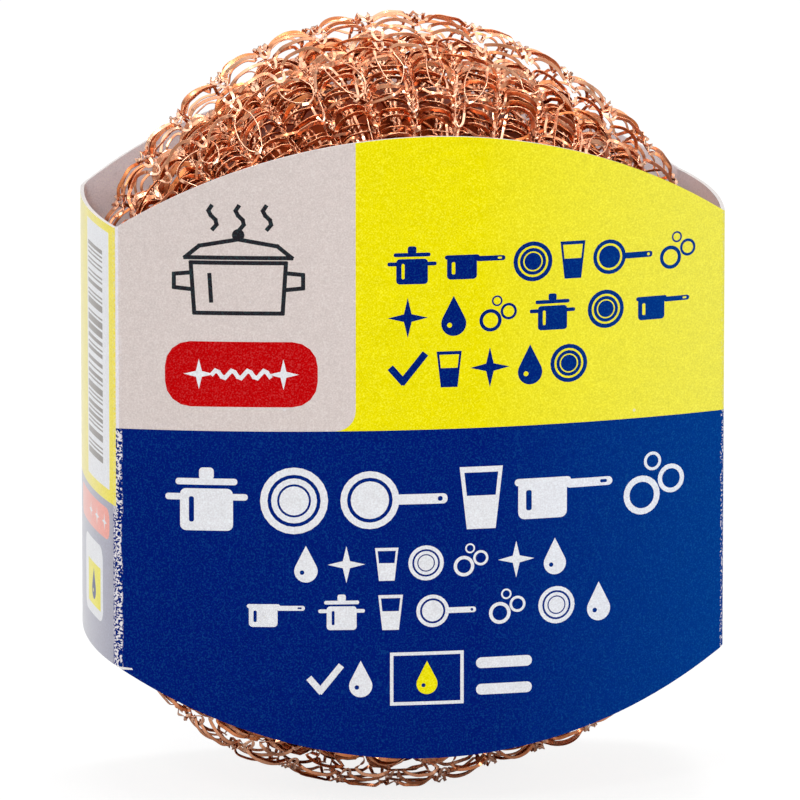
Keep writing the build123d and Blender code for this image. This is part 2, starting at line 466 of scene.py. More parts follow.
@dataclass
class FlatWireTool:
    """Geometry Nodes tree that rolls flat wire along a drawn line of stitches."""

    tree: bpy.types.NodeTree = field(init=False)
    corner_spread: float = math.radians(16)
    hexagon_height: float = 0.577

    def __post_init__(self) -> None:
        """Builds the tree once."""
        takes = {
            "Line": "Geometry",
            "Width": 0.5 * MM,
            "Thickness": 0.08 * MM,
            "Facets": 6,
            "Edge Roundness": 0.25,
            "Corner Angle": math.radians(44),
            "Smoothness": 2,
            "Finish": "Material",
        }
        sheet = new_group("flat_wire", "GeometryNodeTree", takes, {"Wire": "Geometry"})
        self.tree = sheet.tree
        inputs = sheet.add("NodeGroupInput").outputs
        feeds = {"Curve": self.line(sheet, inputs), "Profile Curve": self.profile(sheet, inputs)}
        wire = sheet.add("GeometryNodeCurveToMesh", {**feeds, "Fill Caps": True})
        fold = sheet.add("GeometryNodeInputMeshEdgeAngle").outputs[0]
        feeds = {0: fold, 1: inputs["Corner Angle"], "Epsilon": self.corner_spread}
        sharp = sheet.add("FunctionNodeCompare", feeds, data_type="FLOAT", operation="EQUAL")
        shaded = sheet.add(
            "GeometryNodeSetShadeSmooth",
            {"Geometry": wire.outputs[0], "Selection": sharp.outputs[0], "Shade Smooth": False},
            domain="EDGE",
        )
        whole = sheet.add("GeometryNodeRealizeInstances", {"Geometry": shaded.outputs[0]})
        feeds = {"Geometry": whole.outputs[0], "Material": inputs["Finish"]}
        dressed = sheet.add("GeometryNodeSetMaterial", feeds)
        sheet.add("NodeGroupOutput", {"Wire": dressed.outputs[0]})

    def line(self, sheet: NodeSheet, inputs: bpy.types.NodeOutputs) -> Socket:
        """Bends the line of points to a smooth curve that keeps the flat side's direction.

        Args:
            sheet: The tree's nodes.
            inputs: The tree's inputs.

        Returns:
            The curve.
        """
        face = sheet.add(
            "GeometryNodeInputNamedAttribute", {"Name": "flat_side"}, data_type="FLOAT_VECTOR"
        )
        curve = sheet.add("GeometryNodeMeshToCurve", {"Mesh": inputs["Line"]}).outputs[0]
        bent = sheet.add("GeometryNodeCurveSplineType", {0: curve}, spline_type="CATMULL_ROM")
        feeds = {0: bent.outputs[0], "Resolution": inputs["Smoothness"]}
        fine = sheet.add("GeometryNodeSetSplineResolution", feeds)
        feeds = {"Curve": fine.outputs[0], "Normal": face.outputs[0]}
        return sheet.add("GeometryNodeSetCurveNormal", feeds, mode="FREE").outputs[0]

    def profile(self, sheet: NodeSheet, inputs: bpy.types.NodeOutputs) -> Socket:
        """Flattens a ring to the wire's section: two broad faces between rounded edges.

        Args:
            sheet: The tree's nodes.
            inputs: The tree's inputs.

        Returns:
            The closed curve.
        """
        feeds = {"Resolution": inputs["Facets"], "Radius": 1.0}
        ring = sheet.add("GeometryNodeCurvePrimitiveCircle", feeds, mode="RADIUS").outputs[0]
        position = sheet.add("GeometryNodeInputPosition").outputs[0]
        x, y, z = sheet.add("ShaderNodeSeparateXYZ", {0: position}).outputs
        flat = sheet.math("POWER", sheet.math("ABSOLUTE", x), inputs["Edge Roundness"])
        wide = sheet.times(sheet.math("SIGN", x), flat)
        moved = sheet.add("ShaderNodeCombineXYZ", {0: wide, 1: y, 2: z}).outputs[0]
        ring = sheet.add("GeometryNodeSetPosition", {0: ring, "Position": moved}).outputs[0]
        half_width = sheet.times(inputs["Width"], 0.5)
        half_height = sheet.times(inputs["Thickness"], self.hexagon_height)
        size = sheet.add("ShaderNodeCombineXYZ", {0: half_width, 1: half_height, 2: 1.0})
        feeds = {"Geometry": ring, "Scale": size.outputs[0], "Rotation": (0, 0, math.pi / 2)}
        return sheet.add("GeometryNodeTransform", feeds).outputs[0]

    def roll(
        self, name: str, line: StitchLine, sizes: dict[str, float], finish: bpy.types.Material
    ) -> bpy.types.Object:
        """Rolls flat wire along a line and settles it into a plain mesh.

        Args:
            name: The piece's name.
            line: The centre line with its flat sides and tones.
            sizes: Values for the tree's inputs, such as Width and Thickness.
            finish: The wire's material.

        Returns:
            The piece, with its place in its mesh.
        """
        mesh = bpy.data.meshes.new(name)
        count = len(line.points)
        joins = np.stack([np.arange(count - 1), np.arange(1, count)], 1)
        mesh.from_pydata(line.points.tolist(), joins.tolist(), [])
        faces = mesh.attributes.new("flat_side", "FLOAT_VECTOR", "POINT")
        faces.data.foreach_set("vector", line.flat_sides.ravel())
        write_tone(mesh, line.tones)
        piece = placed(name, mesh)
        modifier = piece.modifiers.new("flat_wire", "NODES")
        modifier.node_group = self.tree
        values = {**sizes, "Finish": finish}
        for item in self.tree.interface.items_tree:
            if item.in_out == "INPUT" and item.name in values:
                modifier[item.identifier] = values[item.name]
        settle(piece)
        return piece


def settle(piece: bpy.types.Object) -> None:
    """Turns a piece with a modifier into the plain mesh that the modifier gives.

    Args:
        piece: The piece, whose own mesh is dropped.
    """
    graph = bpy.context.evaluated_depsgraph_get()
    solid = bpy.data.meshes.new_from_object(
        piece.evaluated_get(graph), preserve_all_data_layers=True, depsgraph=graph
    )
    line = piece.data
    piece.modifiers.clear()
    piece.data = solid
    solid.name = piece.name
    bpy.data.meshes.remove(line)


def face_outwards(mesh: bpy.types.Mesh) -> None:
    """Recalculates a closed mesh's normals so that its faces point outwards.

    Args:
        mesh: The mesh, which is changed.
    """
    work = bmesh.new()
    work.from_mesh(mesh)
    bmesh.ops.recalc_face_normals(work, faces=work.faces)
    work.to_mesh(mesh)
    work.free()


def unit(vectors: np.ndarray) -> np.ndarray:
    """Scales vectors to a length of one."""
    return vectors / np.maximum(np.linalg.norm(vectors, axis=-1, keepdims=True), 1e-12)


def run_length(points: np.ndarray) -> np.ndarray:
    """Distance walked along a line at each of its points."""
    steps = np.linalg.norm(np.diff(points, axis=0), axis=1)
    return np.concatenate([[0], np.cumsum(steps)])


def arc_radius(half: float, rise: float) -> float:
    """Radius of the arc with this half chord and height."""
    return (half**2 + rise**2) / (2 * rise)


def half_arc(half: float, rise: float) -> float:
    """Half the length of the arc with this half chord and height."""
    radius = arc_radius(half, rise)
    return radius * math.asin(half / radius)


@dataclass
class SleeveRoom:
    """Inner and outer faces of the folded sleeve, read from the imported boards."""

    thickness: float = 0.45 * MM
    glue: float = 0.1 * MM
    table_room: float = 0.42

    def __post_init__(self) -> None:
        """Reads the sleeve's sizes from the boxes of its boards."""
        front_low, front_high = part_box("front_panel")
        left_low, left_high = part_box("left_side_panel")
        self.half_width = front_high[0]
        self.half_depth = left_high[1]
        self.front_bow = -front_low[1] - self.half_depth
        self.side_bow = -left_low[0] - self.half_width
        self.half_edge = (left_high[2] - left_low[2]) / 2
        self.centre_z = (left_high[2] + left_low[2]) / 2
        self.edge_rise = front_high[2] - left_high[2]

    def bowed(
        self, across: np.ndarray, half: float, depth: float, bow: float, inset: float
    ) -> np.ndarray:
        """Finds how far a bowed face is from the middle plane.

        Args:
            across: Places across the face.
            half: Half its width.
            depth: Distance of its creases from the middle plane.
            bow: How far its middle stands out past them.
            inset: Depth under the face.

        Returns:
            The distances.
        """
        radius = arc_radius(half, bow)
        centre = depth + bow - radius
        return centre + np.sqrt(np.maximum((radius - inset) ** 2 - np.asarray(across) ** 2, 0))

    def face_y(self, x: np.ndarray, inset: float) -> np.ndarray:
        """Distance of the front or back face from the middle plane, at x."""
        return self.bowed(x, self.half_width, self.half_depth, self.front_bow, inset)

    def face_x(self, y: np.ndarray, inset: float) -> np.ndarray:
        """Distance of a side face from the middle plane, at y."""
        return self.bowed(y, self.half_depth, self.half_width, self.side_bow, inset)

    def hold(self, points: np.ndarray, margin: float) -> np.ndarray:
        """Moves points that would touch the board or the table back inside.

        Args:
            points: Places in space.
            margin: Room left between a point and the board.

        Returns:
            The places, kept inside.
        """
        x, y, z = (points[..., i] for i in range(3))
        front = self.face_y(x, self.thickness + margin)
        back = self.face_y(x, 2 * self.thickness + self.glue + margin)
        y = np.clip(y, -front, back)
        side = self.face_x(
            np.clip(y, -self.half_depth, self.half_depth), self.thickness + margin
        )
        low = self.table_room * margin
        return np.stack([np.clip(x, -side, side), y, np.maximum(z, low)], -1)


@dataclass(frozen=True)
class Lump:
    """A place on the rim that stands out or sinks in, by its direction seen from the front."""

    direction: float
    spread: float
    height: float


@dataclass
class PadForm:
    """Form of the squeezed pad: a rounded rim round two flat faces with drawn mouths."""

    room: SleeveRoom
    shoulder_offset: float = 6.6 * MM
    crown_step: float = 10.0 * MM
    arc_points: int = 60
    rest_flat: float = 0.8 * MM
    mouth_radius: float = 5.2 * MM
    mouth_dip: float = 3.0 * MM
    face_run: float = 15.6 * MM
    wire_room: float = 0.6 * MM
    turn_probe: float = 1e-4
    reach_probe: float = 0.05 * MM
    lumps: tuple[Lump, ...] = (
        Lump(56.0, 20.0, -1.3 * MM),
        Lump(102.0, 20.0, 0.9 * MM),
        Lump(128.0, 14.0, -0.3 * MM),
        Lump(240.0, 13.0, 1.0 * MM),
        Lump(284.0, 8.0, -0.7 * MM),
        Lump(300.0, 9.0, 1.0 * MM),
    )

    def __post_init__(self) -> None:
        """Reads the pad's sizes from its packed outer layer and lays out its outline."""
        low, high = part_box("outer_knit_layer")
        self.half_width = high[0]
        self.half_height = (high[2] + self.rest_flat) / 2
        self.centre_z = high[2] - self.half_height
        self.middle_y = (low[1] + high[1]) / 2
        self.radius = (high[1] - low[1]) / 2
        shoulder = self.half_width - self.shoulder_offset
        crown = shoulder + self.crown_step
        crown_z = self.half_height - crown
        shoulder_z = crown_z + math.sqrt(self.crown_step**2 - self.shoulder_offset**2)
        join = math.atan2(shoulder_z - crown_z, self.shoulder_offset)
        side = np.linspace(0, join, self.arc_points)
        top = np.linspace(join, math.pi / 2, self.arc_points)
        side_x = self.shoulder_offset + shoulder * np.cos(side)
        side_z = shoulder_z + shoulder * np.sin(side)
        x = np.concatenate([side_x, crown * np.cos(top)])
        z = np.concatenate([side_z, crown_z + crown * np.sin(top)])
        angle = np.concatenate([side, top])
        # One quarter of the outline is laid out, and mirrored to the other three.
        x = np.concatenate([x, -x[::-1], -x, x[::-1]])
        z = np.concatenate([z, z[::-1], -z, -z[::-1]])
        angle = np.concatenate(
            [angle, math.pi - angle[::-1], math.pi + angle, 2 * math.pi - angle[::-1]]
        )
        self.outline = np.stack(
            [np.append(x, x[0]), np.append(z, z[0]), np.append(angle, angle[0] + 2 * math.pi)]
        )
        steps = np.hypot(np.diff(self.outline[0]), np.diff(self.outline[1]))
        self.walked = np.concatenate([[0], np.cumsum(steps)])

    def place(
        self, turn: np.ndarray, reach: np.ndarray, depth: np.ndarray, rim: float
    ) -> np.ndarray:
        """Finds points on or under the pad's surface.

        Args:
            turn: Place round the rim, one for each whole turn.
            reach: Distance from the rim's ridge towards the front, negative towards the back.
            depth: Depth under the surface.
            rim: Radius of the rim that reach is measured on.

        Returns:
            The points.
        """
        at = (turn % 1.0) * self.walked[-1]
        x, z, angle = (np.interp(at, self.walked, row) for row in self.outline)
        swing = np.clip(reach / rim, -math.pi / 2, math.pi / 2)
        radius = self.radius - depth
        inset = depth + radius * (1 - np.cos(swing)) - self.lump_height(x, z)
        x = x - np.cos(angle) * inset
        z = z - np.sin(angle) * inset
        y = self.middle_y - radius * np.sin(swing)
        run = np.clip((np.abs(reach) - rim * math.pi / 2) / self.face_run, 0, 1)
        away = np.maximum(np.hypot(x, z), 1e-6)
        shrink = 1 + run * (self.mouth_radius / away - 1)
        y = y + np.sign(reach) * self.mouth_dip * run**3
        points = np.stack([x * shrink, y, z * shrink + self.centre_z], -1)
        return self.room.hold(points, self.wire_room)

    def lump_height(self, x: np.ndarray, z: np.ndarray) -> np.ndarray:
        """How far the rim's lumps stand out in the direction of a place."""
        way = np.degrees(np.arctan2(z, x)) % 360
        return sum(
            lump.height * np.exp(-(((way - lump.direction) / lump.spread) ** 2))
            for lump in self.lumps
        )

    def axes(
        self, turn: np.ndarray, reach: np.ndarray, depth: np.ndarray, rim: float
    ) -> tuple[np.ndarray, np.ndarray, np.ndarray]:
        """Finds the directions round the rim, towards the front and outwards at places.

        Args:
            turn, reach, depth, rim: The places, as place takes them.

        Returns:
            Three arrays of unit vectors.
        """
        here = self.place(turn, reach, depth, rim)
        around = unit(self.place(turn + self.turn_probe, reach, depth, rim) - here)
        forward = unit(self.place(turn, reach + self.reach_probe, depth, rim) - here)
        outward = unit(np.cross(around, forward))
        inside = np.array([0.0, self.middle_y, self.centre_z])
        turned = np.sum(outward * (here - inside), -1, keepdims=True) < 0
        return around, forward, np.where(turned, -outward, outward)


@dataclass
class Knots:
    """The knots of one layer, with one value for each knot."""

    turn: np.ndarray
    reach: np.ndarray
    span: np.ndarray
    half: np.ndarray
    slip: np.ndarray
    slide: np.ndarray
    sink: np.ndarray
    rise: np.ndarray


# A needle loop through its seven points, in shares of its size: across it where it is held
# tight and where it is loose, up its height, and in depth, where a negative share stands out.
TIGHT_ACROSS = np.array([-0.8, -0.6, -0.5, 0.0, 0.5, 0.6, 0.8])
LOOSE_ACROSS = np.array([-0.9, -1.1, -0.75, 0.0, 0.75, 1.1, 0.9])
LOOP_UP = np.array([0.2, 0.6, 0.86, 1.0, 0.86, 0.6, 0.2])
LOOP_STAND = np.array([0.1, -1.0, -0.7, -0.35, -0.7, -1.0, 0.1])


@dataclass(frozen=True)
class Spread:
    """How unevenly a layer is knitted.

    One number is a standard deviation and a pair is the two ends of an even spread. But lean and
    tone are a mean and a deviation, and the pairs named ends are the limits of a value. Ripple
    lengths are in millimetres, and the turns of the flat wire in degrees.
    """

    knot: tuple[float, float] = (0.8, 1.2)
    slip: float = 0.16
    slide: float = 0.22
    ripple: tuple[float, float] = (14.0, 40.0)
    sink: tuple[float, float] = (-0.2, 0.25)
    rise: float = 0.14
    lean: tuple[float, float] = (0.2, 0.35)
    skew: float = 0.1
    pull: float = 0.15
    pull_ends: tuple[float, float] = (0.6, 1.4)
    open_height: tuple[float, float] = (0.55, 1.25)
    open_width: tuple[float, float] = (0.6, 1.25)
    tilt: float = 0.2
    stand: tuple[float, float] = (0.6, 1.3)
    lift: tuple[float, float] = (-0.6, 1.4)
    edge_tilt: float = 15.0
    edge_ends: tuple[float, float] = (20.0, 100.0)
    leg_turn: float = 35.0
    tone: tuple[float, float] = (0.55, 0.22)


@dataclass
class KnitLayer:
    """One turn of the knitted tube: rows of stitches that spiral from back to front."""

    name: str
    node: str
    depth: float
    start: float
    end: float
    seed: int
    wales: int = 42
    course_step: float = 3.1 * MM
    turn_shift: float = 0.0
    arch_length: float = 4.75 * MM
    arch_steps: int = 7
    arch_power: float = 0.9
    loop_half: float = 0.9 * MM
    loop_height: float = 3.7 * MM
    loop_stand: float = 0.65 * MM
    loose_rounds: float = 0.0
    loose_height: float = 6.4 * MM
    loose_half: float = 1.6 * MM
    edge_tilt: float = 68.0
    leg_turn: float = 0.0
    unevenness: float = 1.0
    smoothness: int = 1
    facets: int = 6
    wire_width: float = 0.58 * MM
    spread: Spread = Spread()
    knot_share: float = 0.24
    knot_cover: float = 0.15 * MM
    full_slip: float = 6 * MM
    least_chord: float = 0.3 * MM
    least_spare: float = 0.08
    least_span: float = 0.2 * MM
    least_cover: float = 0.25 * MM
    ripple_waves: tuple[int, ...] = (2, 3, 5, 9)
    ripple_height: float = 0.16
    ripple_ends: tuple[float, float] = (-0.1, 0.6)
    tight_tilt: float = 0.3 * MM
    loose_tilt: float = 4 * MM
    loose_lift: float = 0.9 * MM
    loose_turn: float = 85.0
    one_way: float = 0.8
    arch_tone: float = 0.12
    loop_tone: float = -0.4

    def stitch_line(self, form: PadForm) -> StitchLine:
        """Lays out the wire's centre line over the pad.

        Args:
            form: The pad's form.

        Returns:
            The line of one long spiral of stitches.
        """
        rng = np.random.default_rng(self.seed)
        rim = form.radius - self.depth
        knots = self.knots(form, rim, rng)
        count = len(knots.turn) - 1
        loose_from = count - self.loose_rounds * self.wales
        loose = np.clip(np.arange(1, count + 1) - loose_from, 0, 1)[:, None]
        share = np.linspace(0, 1, self.arch_steps)[None]
        arches = self.arches(knots, share, rng)
        loops = self.loops(knots, loose, rng)
        along, across, down = (np.concatenate(pair, 1) for pair in zip(arches, loops))
        down = np.maximum(down, self.depth + self.least_cover)
        per_metre = 1 / self.wales / np.maximum(knots.span, self.least_span)
        turns = knots.turn[:-1, None] + along * per_metre[:-1, None]
        reaches = knots.reach[:-1, None] + across
        line = form.place(turns, reaches, down, rim).reshape(-1, 3)
        flat = self.flat_sides(form.axes(turns, reaches, down, rim), share, loose, rng)
        tangent = unit(np.gradient(line, axis=0))
        flat = unit(flat - np.sum(flat * tangent, 1, keepdims=True) * tangent)
        tones = np.array([self.arch_tone] * self.arch_steps + [self.loop_tone] * len(LOOP_UP))
        tones = np.clip(rng.normal(*self.spread.tone, (count, 1)) + tones, 0, 1).ravel()
        LOG.info("%s: %d stitches", self.name, count)
        return StitchLine(line, flat.astype(np.float32), tones.astype(np.float32))

    def knots(self, form: PadForm, rim: float, rng: np.random.Generator) -> Knots:
        """Sets out the knots along the spiral and draws how uneven each is.

        Args:
            form: The pad's form.
            rim: Radius of the layer's rim.
            rng: Source of the unevenness.

        Returns:
            The knots.
        """
        rounds = (self.end - self.start) / self.course_step
        count = int(rounds * self.wales) + 1
        knot = np.arange(count)
        turn = knot / self.wales + self.turn_shift
        reach = self.start + knot / self.wales * self.course_step
        here = form.place(turn, reach, np.full(count, self.depth), rim)
        span = np.linalg.norm(np.diff(here, axis=0), axis=1)
        span = np.append(span, span[-1])
        spread, rough = self.spread, self.unevenness * MM
        half = np.minimum(self.loop_half, self.knot_share * span) * rng.uniform(*spread.knot, count)
        slip = rng.normal(0, spread.slip, count) * rough * np.minimum(span / self.full_slip, 1)
        slide = rng.normal(0, spread.slide, count) * rough
        ripple = self.ripple(rng, turn, reach)
        # The arch's spare length over its chord makes it rise, as in a shallow arc.
        chord = np.maximum(span - 2 * half, self.least_chord)
        spare = np.maximum(self.arch_length - chord, self.least_spare * chord)
        rise = np.sqrt(3 / 8 * chord * spare)
        uneven = rng.uniform(*spread.sink, count) * rough
        sink = self.depth + rise + self.knot_cover + uneven + ripple
        rise = rise * rng.normal(1, spread.rise, count)
        return Knots(turn, reach, span, half, slip, slide, sink, rise)

    def ripple(
        self, rng: np.random.Generator, turn: np.ndarray, reach: np.ndarray
    ) -> np.ndarray:
        """Draws slow hollows in the knit.

        Args:
            rng: Source of the hollows.
            turn: Place of each knot round the rim.
            reach: Its place from back to front.

        Returns:
            The extra depth at each knot.
        """
        total = np.zeros_like(turn)
        for waves in self.ripple_waves:
            phase, length = rng.uniform(0, 2 * math.pi), rng.uniform(*self.spread.ripple) * MM
            total += np.sin(2 * math.pi * (waves * turn + reach / length) + phase)
        return np.clip(total * self.ripple_height, *self.ripple_ends) * self.unevenness * MM

    def arches(
        self, knots: Knots, share: np.ndarray, rng: np.random.Generator
    ) -> tuple[np.ndarray, np.ndarray, np.ndarray]:
        """Draws the arch from each knot to the next.

        Args:
            knots: The layer's knots.
            share: Places along an arch, from none to one.
            rng: Source of the unevenness.

        Returns:
            Distances along the row, across it and down from the surface.
        """
        size = (len(knots.turn) - 1, 1)
        bend = (4 * share * (1 - share)) ** self.arch_power
        lean = rng.normal(*self.spread.lean, size) * (self.unevenness * MM)
        skew = rng.normal(0, self.spread.skew, size)
        bent = share + skew * share * (1 - share) * 4
        start = (knots.slip + knots.half)[:-1, None]
        end = (knots.span[:-1] + knots.slip[1:] - knots.half[1:])[:, None]
        along = start * (1 - bent) + end * bent
        across = knots.slide[:-1, None] * (1 - share) + knots.slide[1:, None] * share
        across = across + lean * bend + share * self.course_step / self.wales
        down = knots.sink[:-1, None] * (1 - share) + knots.sink[1:, None] * share
        return along, across, down - knots.rise[:-1, None] * bend

    def loops(
        self, knots: Knots, loose: np.ndarray, rng: np.random.Generator
    ) -> tuple[np.ndarray, np.ndarray, np.ndarray]:
        """Draws the needle loop at each knot, which holds the row in front.

        Args:
            knots: The layer's knots.
            loose: One where nothing holds the loop, as in the last row.
            rng: Source of the unevenness.

        Returns:
            Distances along the row, across it and down from the surface.
        """
        spread, size = self.spread, loose.shape
        pull = np.clip(1 + spread.pull * rng.normal(0, 1, size), *spread.pull_ends)
        open_height = self.loose_height * loose * rng.uniform(*spread.open_height, size)
        height = (self.loop_height * (1 - loose) + open_height) * pull
        open_half = self.loose_half * loose * rng.uniform(*spread.open_width, size)
        wide = knots.half[1:, None] * (1 - loose) + open_half
        tilt = rng.normal(0, spread.tilt, size) * (self.tight_tilt + loose * self.loose_tilt)
        shape = TIGHT_ACROSS * (1 - loose) + LOOSE_ACROSS * loose
        stand = self.loop_stand * rng.uniform(*spread.stand, size)
        middle = (knots.span[:-1] + knots.slip[1:])[:, None]
        along = middle + wide * shape + tilt * LOOP_UP
        across = knots.slide[1:, None] + height * LOOP_UP
        down = knots.sink[1:, None] + LOOP_STAND * stand
        lift = self.loose_lift * loose * rng.uniform(*spread.lift, size)
        return along, across, down + lift * LOOP_UP

    def flat_sides(
        self,
        axes: tuple[np.ndarray, np.ndarray, np.ndarray],
        share: np.ndarray,
        loose: np.ndarray,
        rng: np.random.Generator,
    ) -> np.ndarray:
        """Draws the way that the wire's flat side faces: arches stand on edge, loops lie flat.

        Args:
            axes: Directions round the rim, towards the front and outwards at each point.
            share: Places along an arch, from none to one.
            loose: One where nothing holds the loop.
            rng: Source of the unevenness.

        Returns:
            A direction for each point of the line.
        """
        (around, forward, outward), spread = axes, self.spread
        arch, loop = slice(0, self.arch_steps), slice(self.arch_steps, None)
        at_ends, in_middle, calmed = 0.85, 0.15, 0.5
        side = np.where(rng.random(loose.shape) < self.one_way, 1.0, -1.0)
        tilt = rng.normal(self.edge_tilt, spread.edge_tilt, loose.shape)
        roll = np.radians(np.clip(tilt, *spread.edge_ends)) * side
        roll = roll * (at_ends + in_middle * np.sin(math.pi * share))
        leg_turns = rng.normal(self.leg_turn, spread.leg_turn, (len(loose), len(LOOP_UP)))
        spin = np.radians(leg_turns * (1 - calmed * loose) + self.loose_turn * loose)
        roll, spin = roll[..., None], spin[..., None]
        arches = np.cos(roll) * outward[:, arch] + np.sin(roll) * forward[:, arch]
        loops = np.cos(spin) * outward[:, loop] + np.sin(spin) * around[:, loop]
        return np.concatenate([arches, loops], 1).reshape(-1, 3)


@dataclass
class CoreRoll:
    """Tightly rolled middle of the tube, seen only between the stitches; its copper is darkened as
    painted shade.
    """

    name: str = "rolled_core"
    depth: float = 8.5 * MM
    lumpiness: float = 0.7
    tone: float = 0.95
    around: int = 150
    across: int = 64
    seed: int = 5

    def build(self, form: PadForm, finish: bpy.types.Material) -> bpy.types.Object:
        """Makes the closed lumpy form.

        Args:
            form: The pad's form.
            finish: The copper material.

        Returns:
            The piece.
        """
        rng = np.random.default_rng(self.seed)
        rim = form.radius - self.depth
        end = rim * math.pi / 2 + form.face_run
        turns, reaches = np.arange(self.around) / self.around, np.linspace(-end, end, self.across)
        turn, reach = np.meshgrid(turns, reaches)
        depth = self.depth + rng.uniform(0, self.lumpiness, turn.shape) * MM
        grid = form.place(turn, reach, depth, rim).reshape(-1, 3)
        faces = []
        for row in range(0, (self.across - 1) * self.around, self.around):
            for column in range(self.around):
                a, b = row + column, row + (column + 1) % self.around
                faces.append((a, a + self.around, b + self.around, b))
        faces.append(tuple(range(self.around)))
        faces.append(tuple(range(len(grid) - 1, len(grid) - 1 - self.around, -1)))
        mesh = bpy.data.meshes.new(self.name)
        mesh.from_pydata(grid.tolist(), [], faces)
        write_tone(mesh, np.full(len(grid), self.tone, np.float32))
        mesh.materials.append(finish)
        face_outwards(mesh)
        mesh.shade_smooth()
        return placed(self.name, mesh)


@dataclass
class ScouringPad:
    """The knitted pad: layers of flat copper wire over a rolled core."""

    form: PadForm
    body: str = "pad"
    wire_thickness: float = 0.09 * MM
    second_depth: float = 2.4 * MM
    third_depth: float = 5.2 * MM
    ridge_end: float = 2.0 * MM
    close_step: float = 1.15 * MM
    knit: CopperFinish = CopperFinish(
        "copper_flat_wire", (250, 206, 176), (204, 112, 54), (0.14, 0.32)
    )
    # Painted shade: this darkened copper stands for the shade deep inside the pad, on the core and
    # the draw wires.
    deep: CopperFinish = CopperFinish(
        "copper_shadowed_wire", (160, 70, 30), (90, 30, 10), (0.35, 0.5)
    )

    def half_run(self, depth: float) -> float:
        """Length of a layer from the ridge of its rim to its drawn mouth."""
        return (self.form.radius - depth) * math.pi / 2 + self.form.face_run - 1.5 * MM

    def layers(self) -> list[KnitLayer]:
        """Lists the layers from the outside in.

        Returns:
            The layers. Those of one turn of the tube follow on from back to front.
        """
        full, second, third = map(self.half_run, (0.0, self.second_depth, self.third_depth))
        rim_start = -full + 10 * KnitLayer.course_step
        face_start = self.ridge_end + 17 * self.close_step
        outer_back = KnitLayer(
            "outer_knit_back", "outer_knit_layer", 0.0, -full, rim_start, 12,
            loop_height=3.1 * MM, wire_width=0.42 * MM,
        )
        outer = replace(
            outer_back, name="outer_knit", start=rim_start, end=12.5 * MM, seed=11,
            loose_rounds=1.0, smoothness=2,
        )
        loose = KnitLayer(
            "loose_knit", "outer_knit_layer", 1.6 * MM, 9.0 * MM, 27.0 * MM, 61, wales=39,
            course_step=4.0 * MM, arch_length=6.0 * MM, loop_height=5.5 * MM, edge_tilt=25.0,
            unevenness=2.6, leg_turn=20.0, smoothness=2, wire_width=0.34 * MM,
        )
        second_back = KnitLayer(
            "second_knit_back", "inner_knit_layer", self.second_depth, -second, self.ridge_end,
            23, turn_shift=0.45 / 42, course_step=2.4 * MM, arch_length=6.2 * MM,
            loop_half=0.5 * MM, loop_height=2.8 * MM,
        )
        second_face = replace(
            second_back, name="second_knit_face", start=face_start, end=second, seed=25,
            course_step=2 * self.close_step, edge_tilt=78.0, leg_turn=55.0,
        )
        second_rim = replace(
            second_face, name="second_knit_rim", start=self.ridge_end, end=face_start, seed=24,
            course_step=self.close_step, arch_length=6.5 * MM, arch_power=0.7,
            loop_half=0.45 * MM, loop_height=1.7 * MM, loop_stand=0.3 * MM, unevenness=0.75,
        )
        third_knit = KnitLayer(
            "third_knit", "inner_knit_layer", self.third_depth, -third, third, 37, wales=38,
            arch_steps=5, course_step=1.9 * MM, arch_length=6.2 * MM, loop_half=0.5 * MM,
            loop_height=2.4 * MM, unevenness=1.3, facets=4,
        )
        return [outer_back, outer, loose, second_back, second_rim, second_face, third_knit]

    def build(self, tool: FlatWireTool) -> list[bpy.types.Object]:
        """Makes the pad's pieces and joins them to the pad's body.

        Args:
            tool: The tool that rolls the flat wire.

        Returns:
            The pieces.
        """
        knit, deep = self.knit.material(), self.deep.material()
        made = []
        for layer in self.layers():
            sizes = {
                "Width": layer.wire_width,
                "Thickness": self.wire_thickness,
                "Facets": layer.facets,
                "Smoothness": layer.smoothness,
            }
            piece = tool.roll(layer.name, layer.stitch_line(self.form), sizes, knit)
            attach(piece, self.body)
            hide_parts(layer.node)
            made.append(piece)
        core = CoreRoll().build(self.form, deep)
        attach(core, self.body)
        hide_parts("core_roll")
        made.append(core)
        # Painted shade: the draw wires get the darkened copper too.
        for name in ("front_draw_wire", "back_draw_wire"):
            dress_node(name, deep)
        return made


def dress_node(name: str, finish: bpy.types.Material) -> None:
    """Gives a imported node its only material.

    Args:
        name: The node's name.
        finish: The material.
    """
    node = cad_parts[name]
    node.data.materials.clear()
    node.data.materials.append(finish)


class Ink(Enum):
    """Inks and bare board, as 8-bit display values. The paled inks of the left side panel carry
    painted glare.
    """

    YELLOW = (236, 224, 0)
    BEIGE = (213, 200, 196)
    BLUE = (0, 24, 112)
    WHITE = (226, 226, 230)
    RED = (190, 0, 4)
    BLACK = (38, 34, 40)
    GREY = (138, 130, 126)
    # Painted glare: the left side panel's blue, red and yellow, paled as glare washes them out.
    GLARE_PALED_BLUE = (166, 164, 179)
    GLARE_PALED_RED = (238, 158, 146)
    GLARE_PALED_YELLOW = (238, 222, 84)
    CREASE_LINE = (232, 226, 234)
    INSIDE = (250, 247, 253)
    CUT_EDGE = (232, 228, 226)


def box_outline(
    left: float, low: float, right: float, high: float, corner: float = 0.0
) -> Outline:
    """Outline of a rectangle with rounded corners.

    Args:
        left, low, right, high: Its sides.
        corner: Radius of its corners.

    Returns:
        The points in order.
    """
    if corner <= 0:
        return [(left, low), (right, low), (right, high), (left, high)]
    points: Outline = []
    middles = (
        (right - corner, low + corner),
        (right - corner, high - corner),
        (left + corner, high - corner),
        (left + corner, low + corner),
    )
    for quarter, (x, y) in enumerate(middles, -1):
        for step in range(5):
            angle = math.radians(quarter * 90 + step * 22.5)
            points.append((x + corner * math.cos(angle), y + corner * math.sin(angle)))
    return points


def disc_outline(x: float, y: float, radius: float, count: int = 24) -> Outline:
    """Outline of a disc."""
    steps = [2 * math.pi * i / count for i in range(count)]
    return [(x + radius * math.cos(a), y + radius * math.sin(a)) for a in steps]


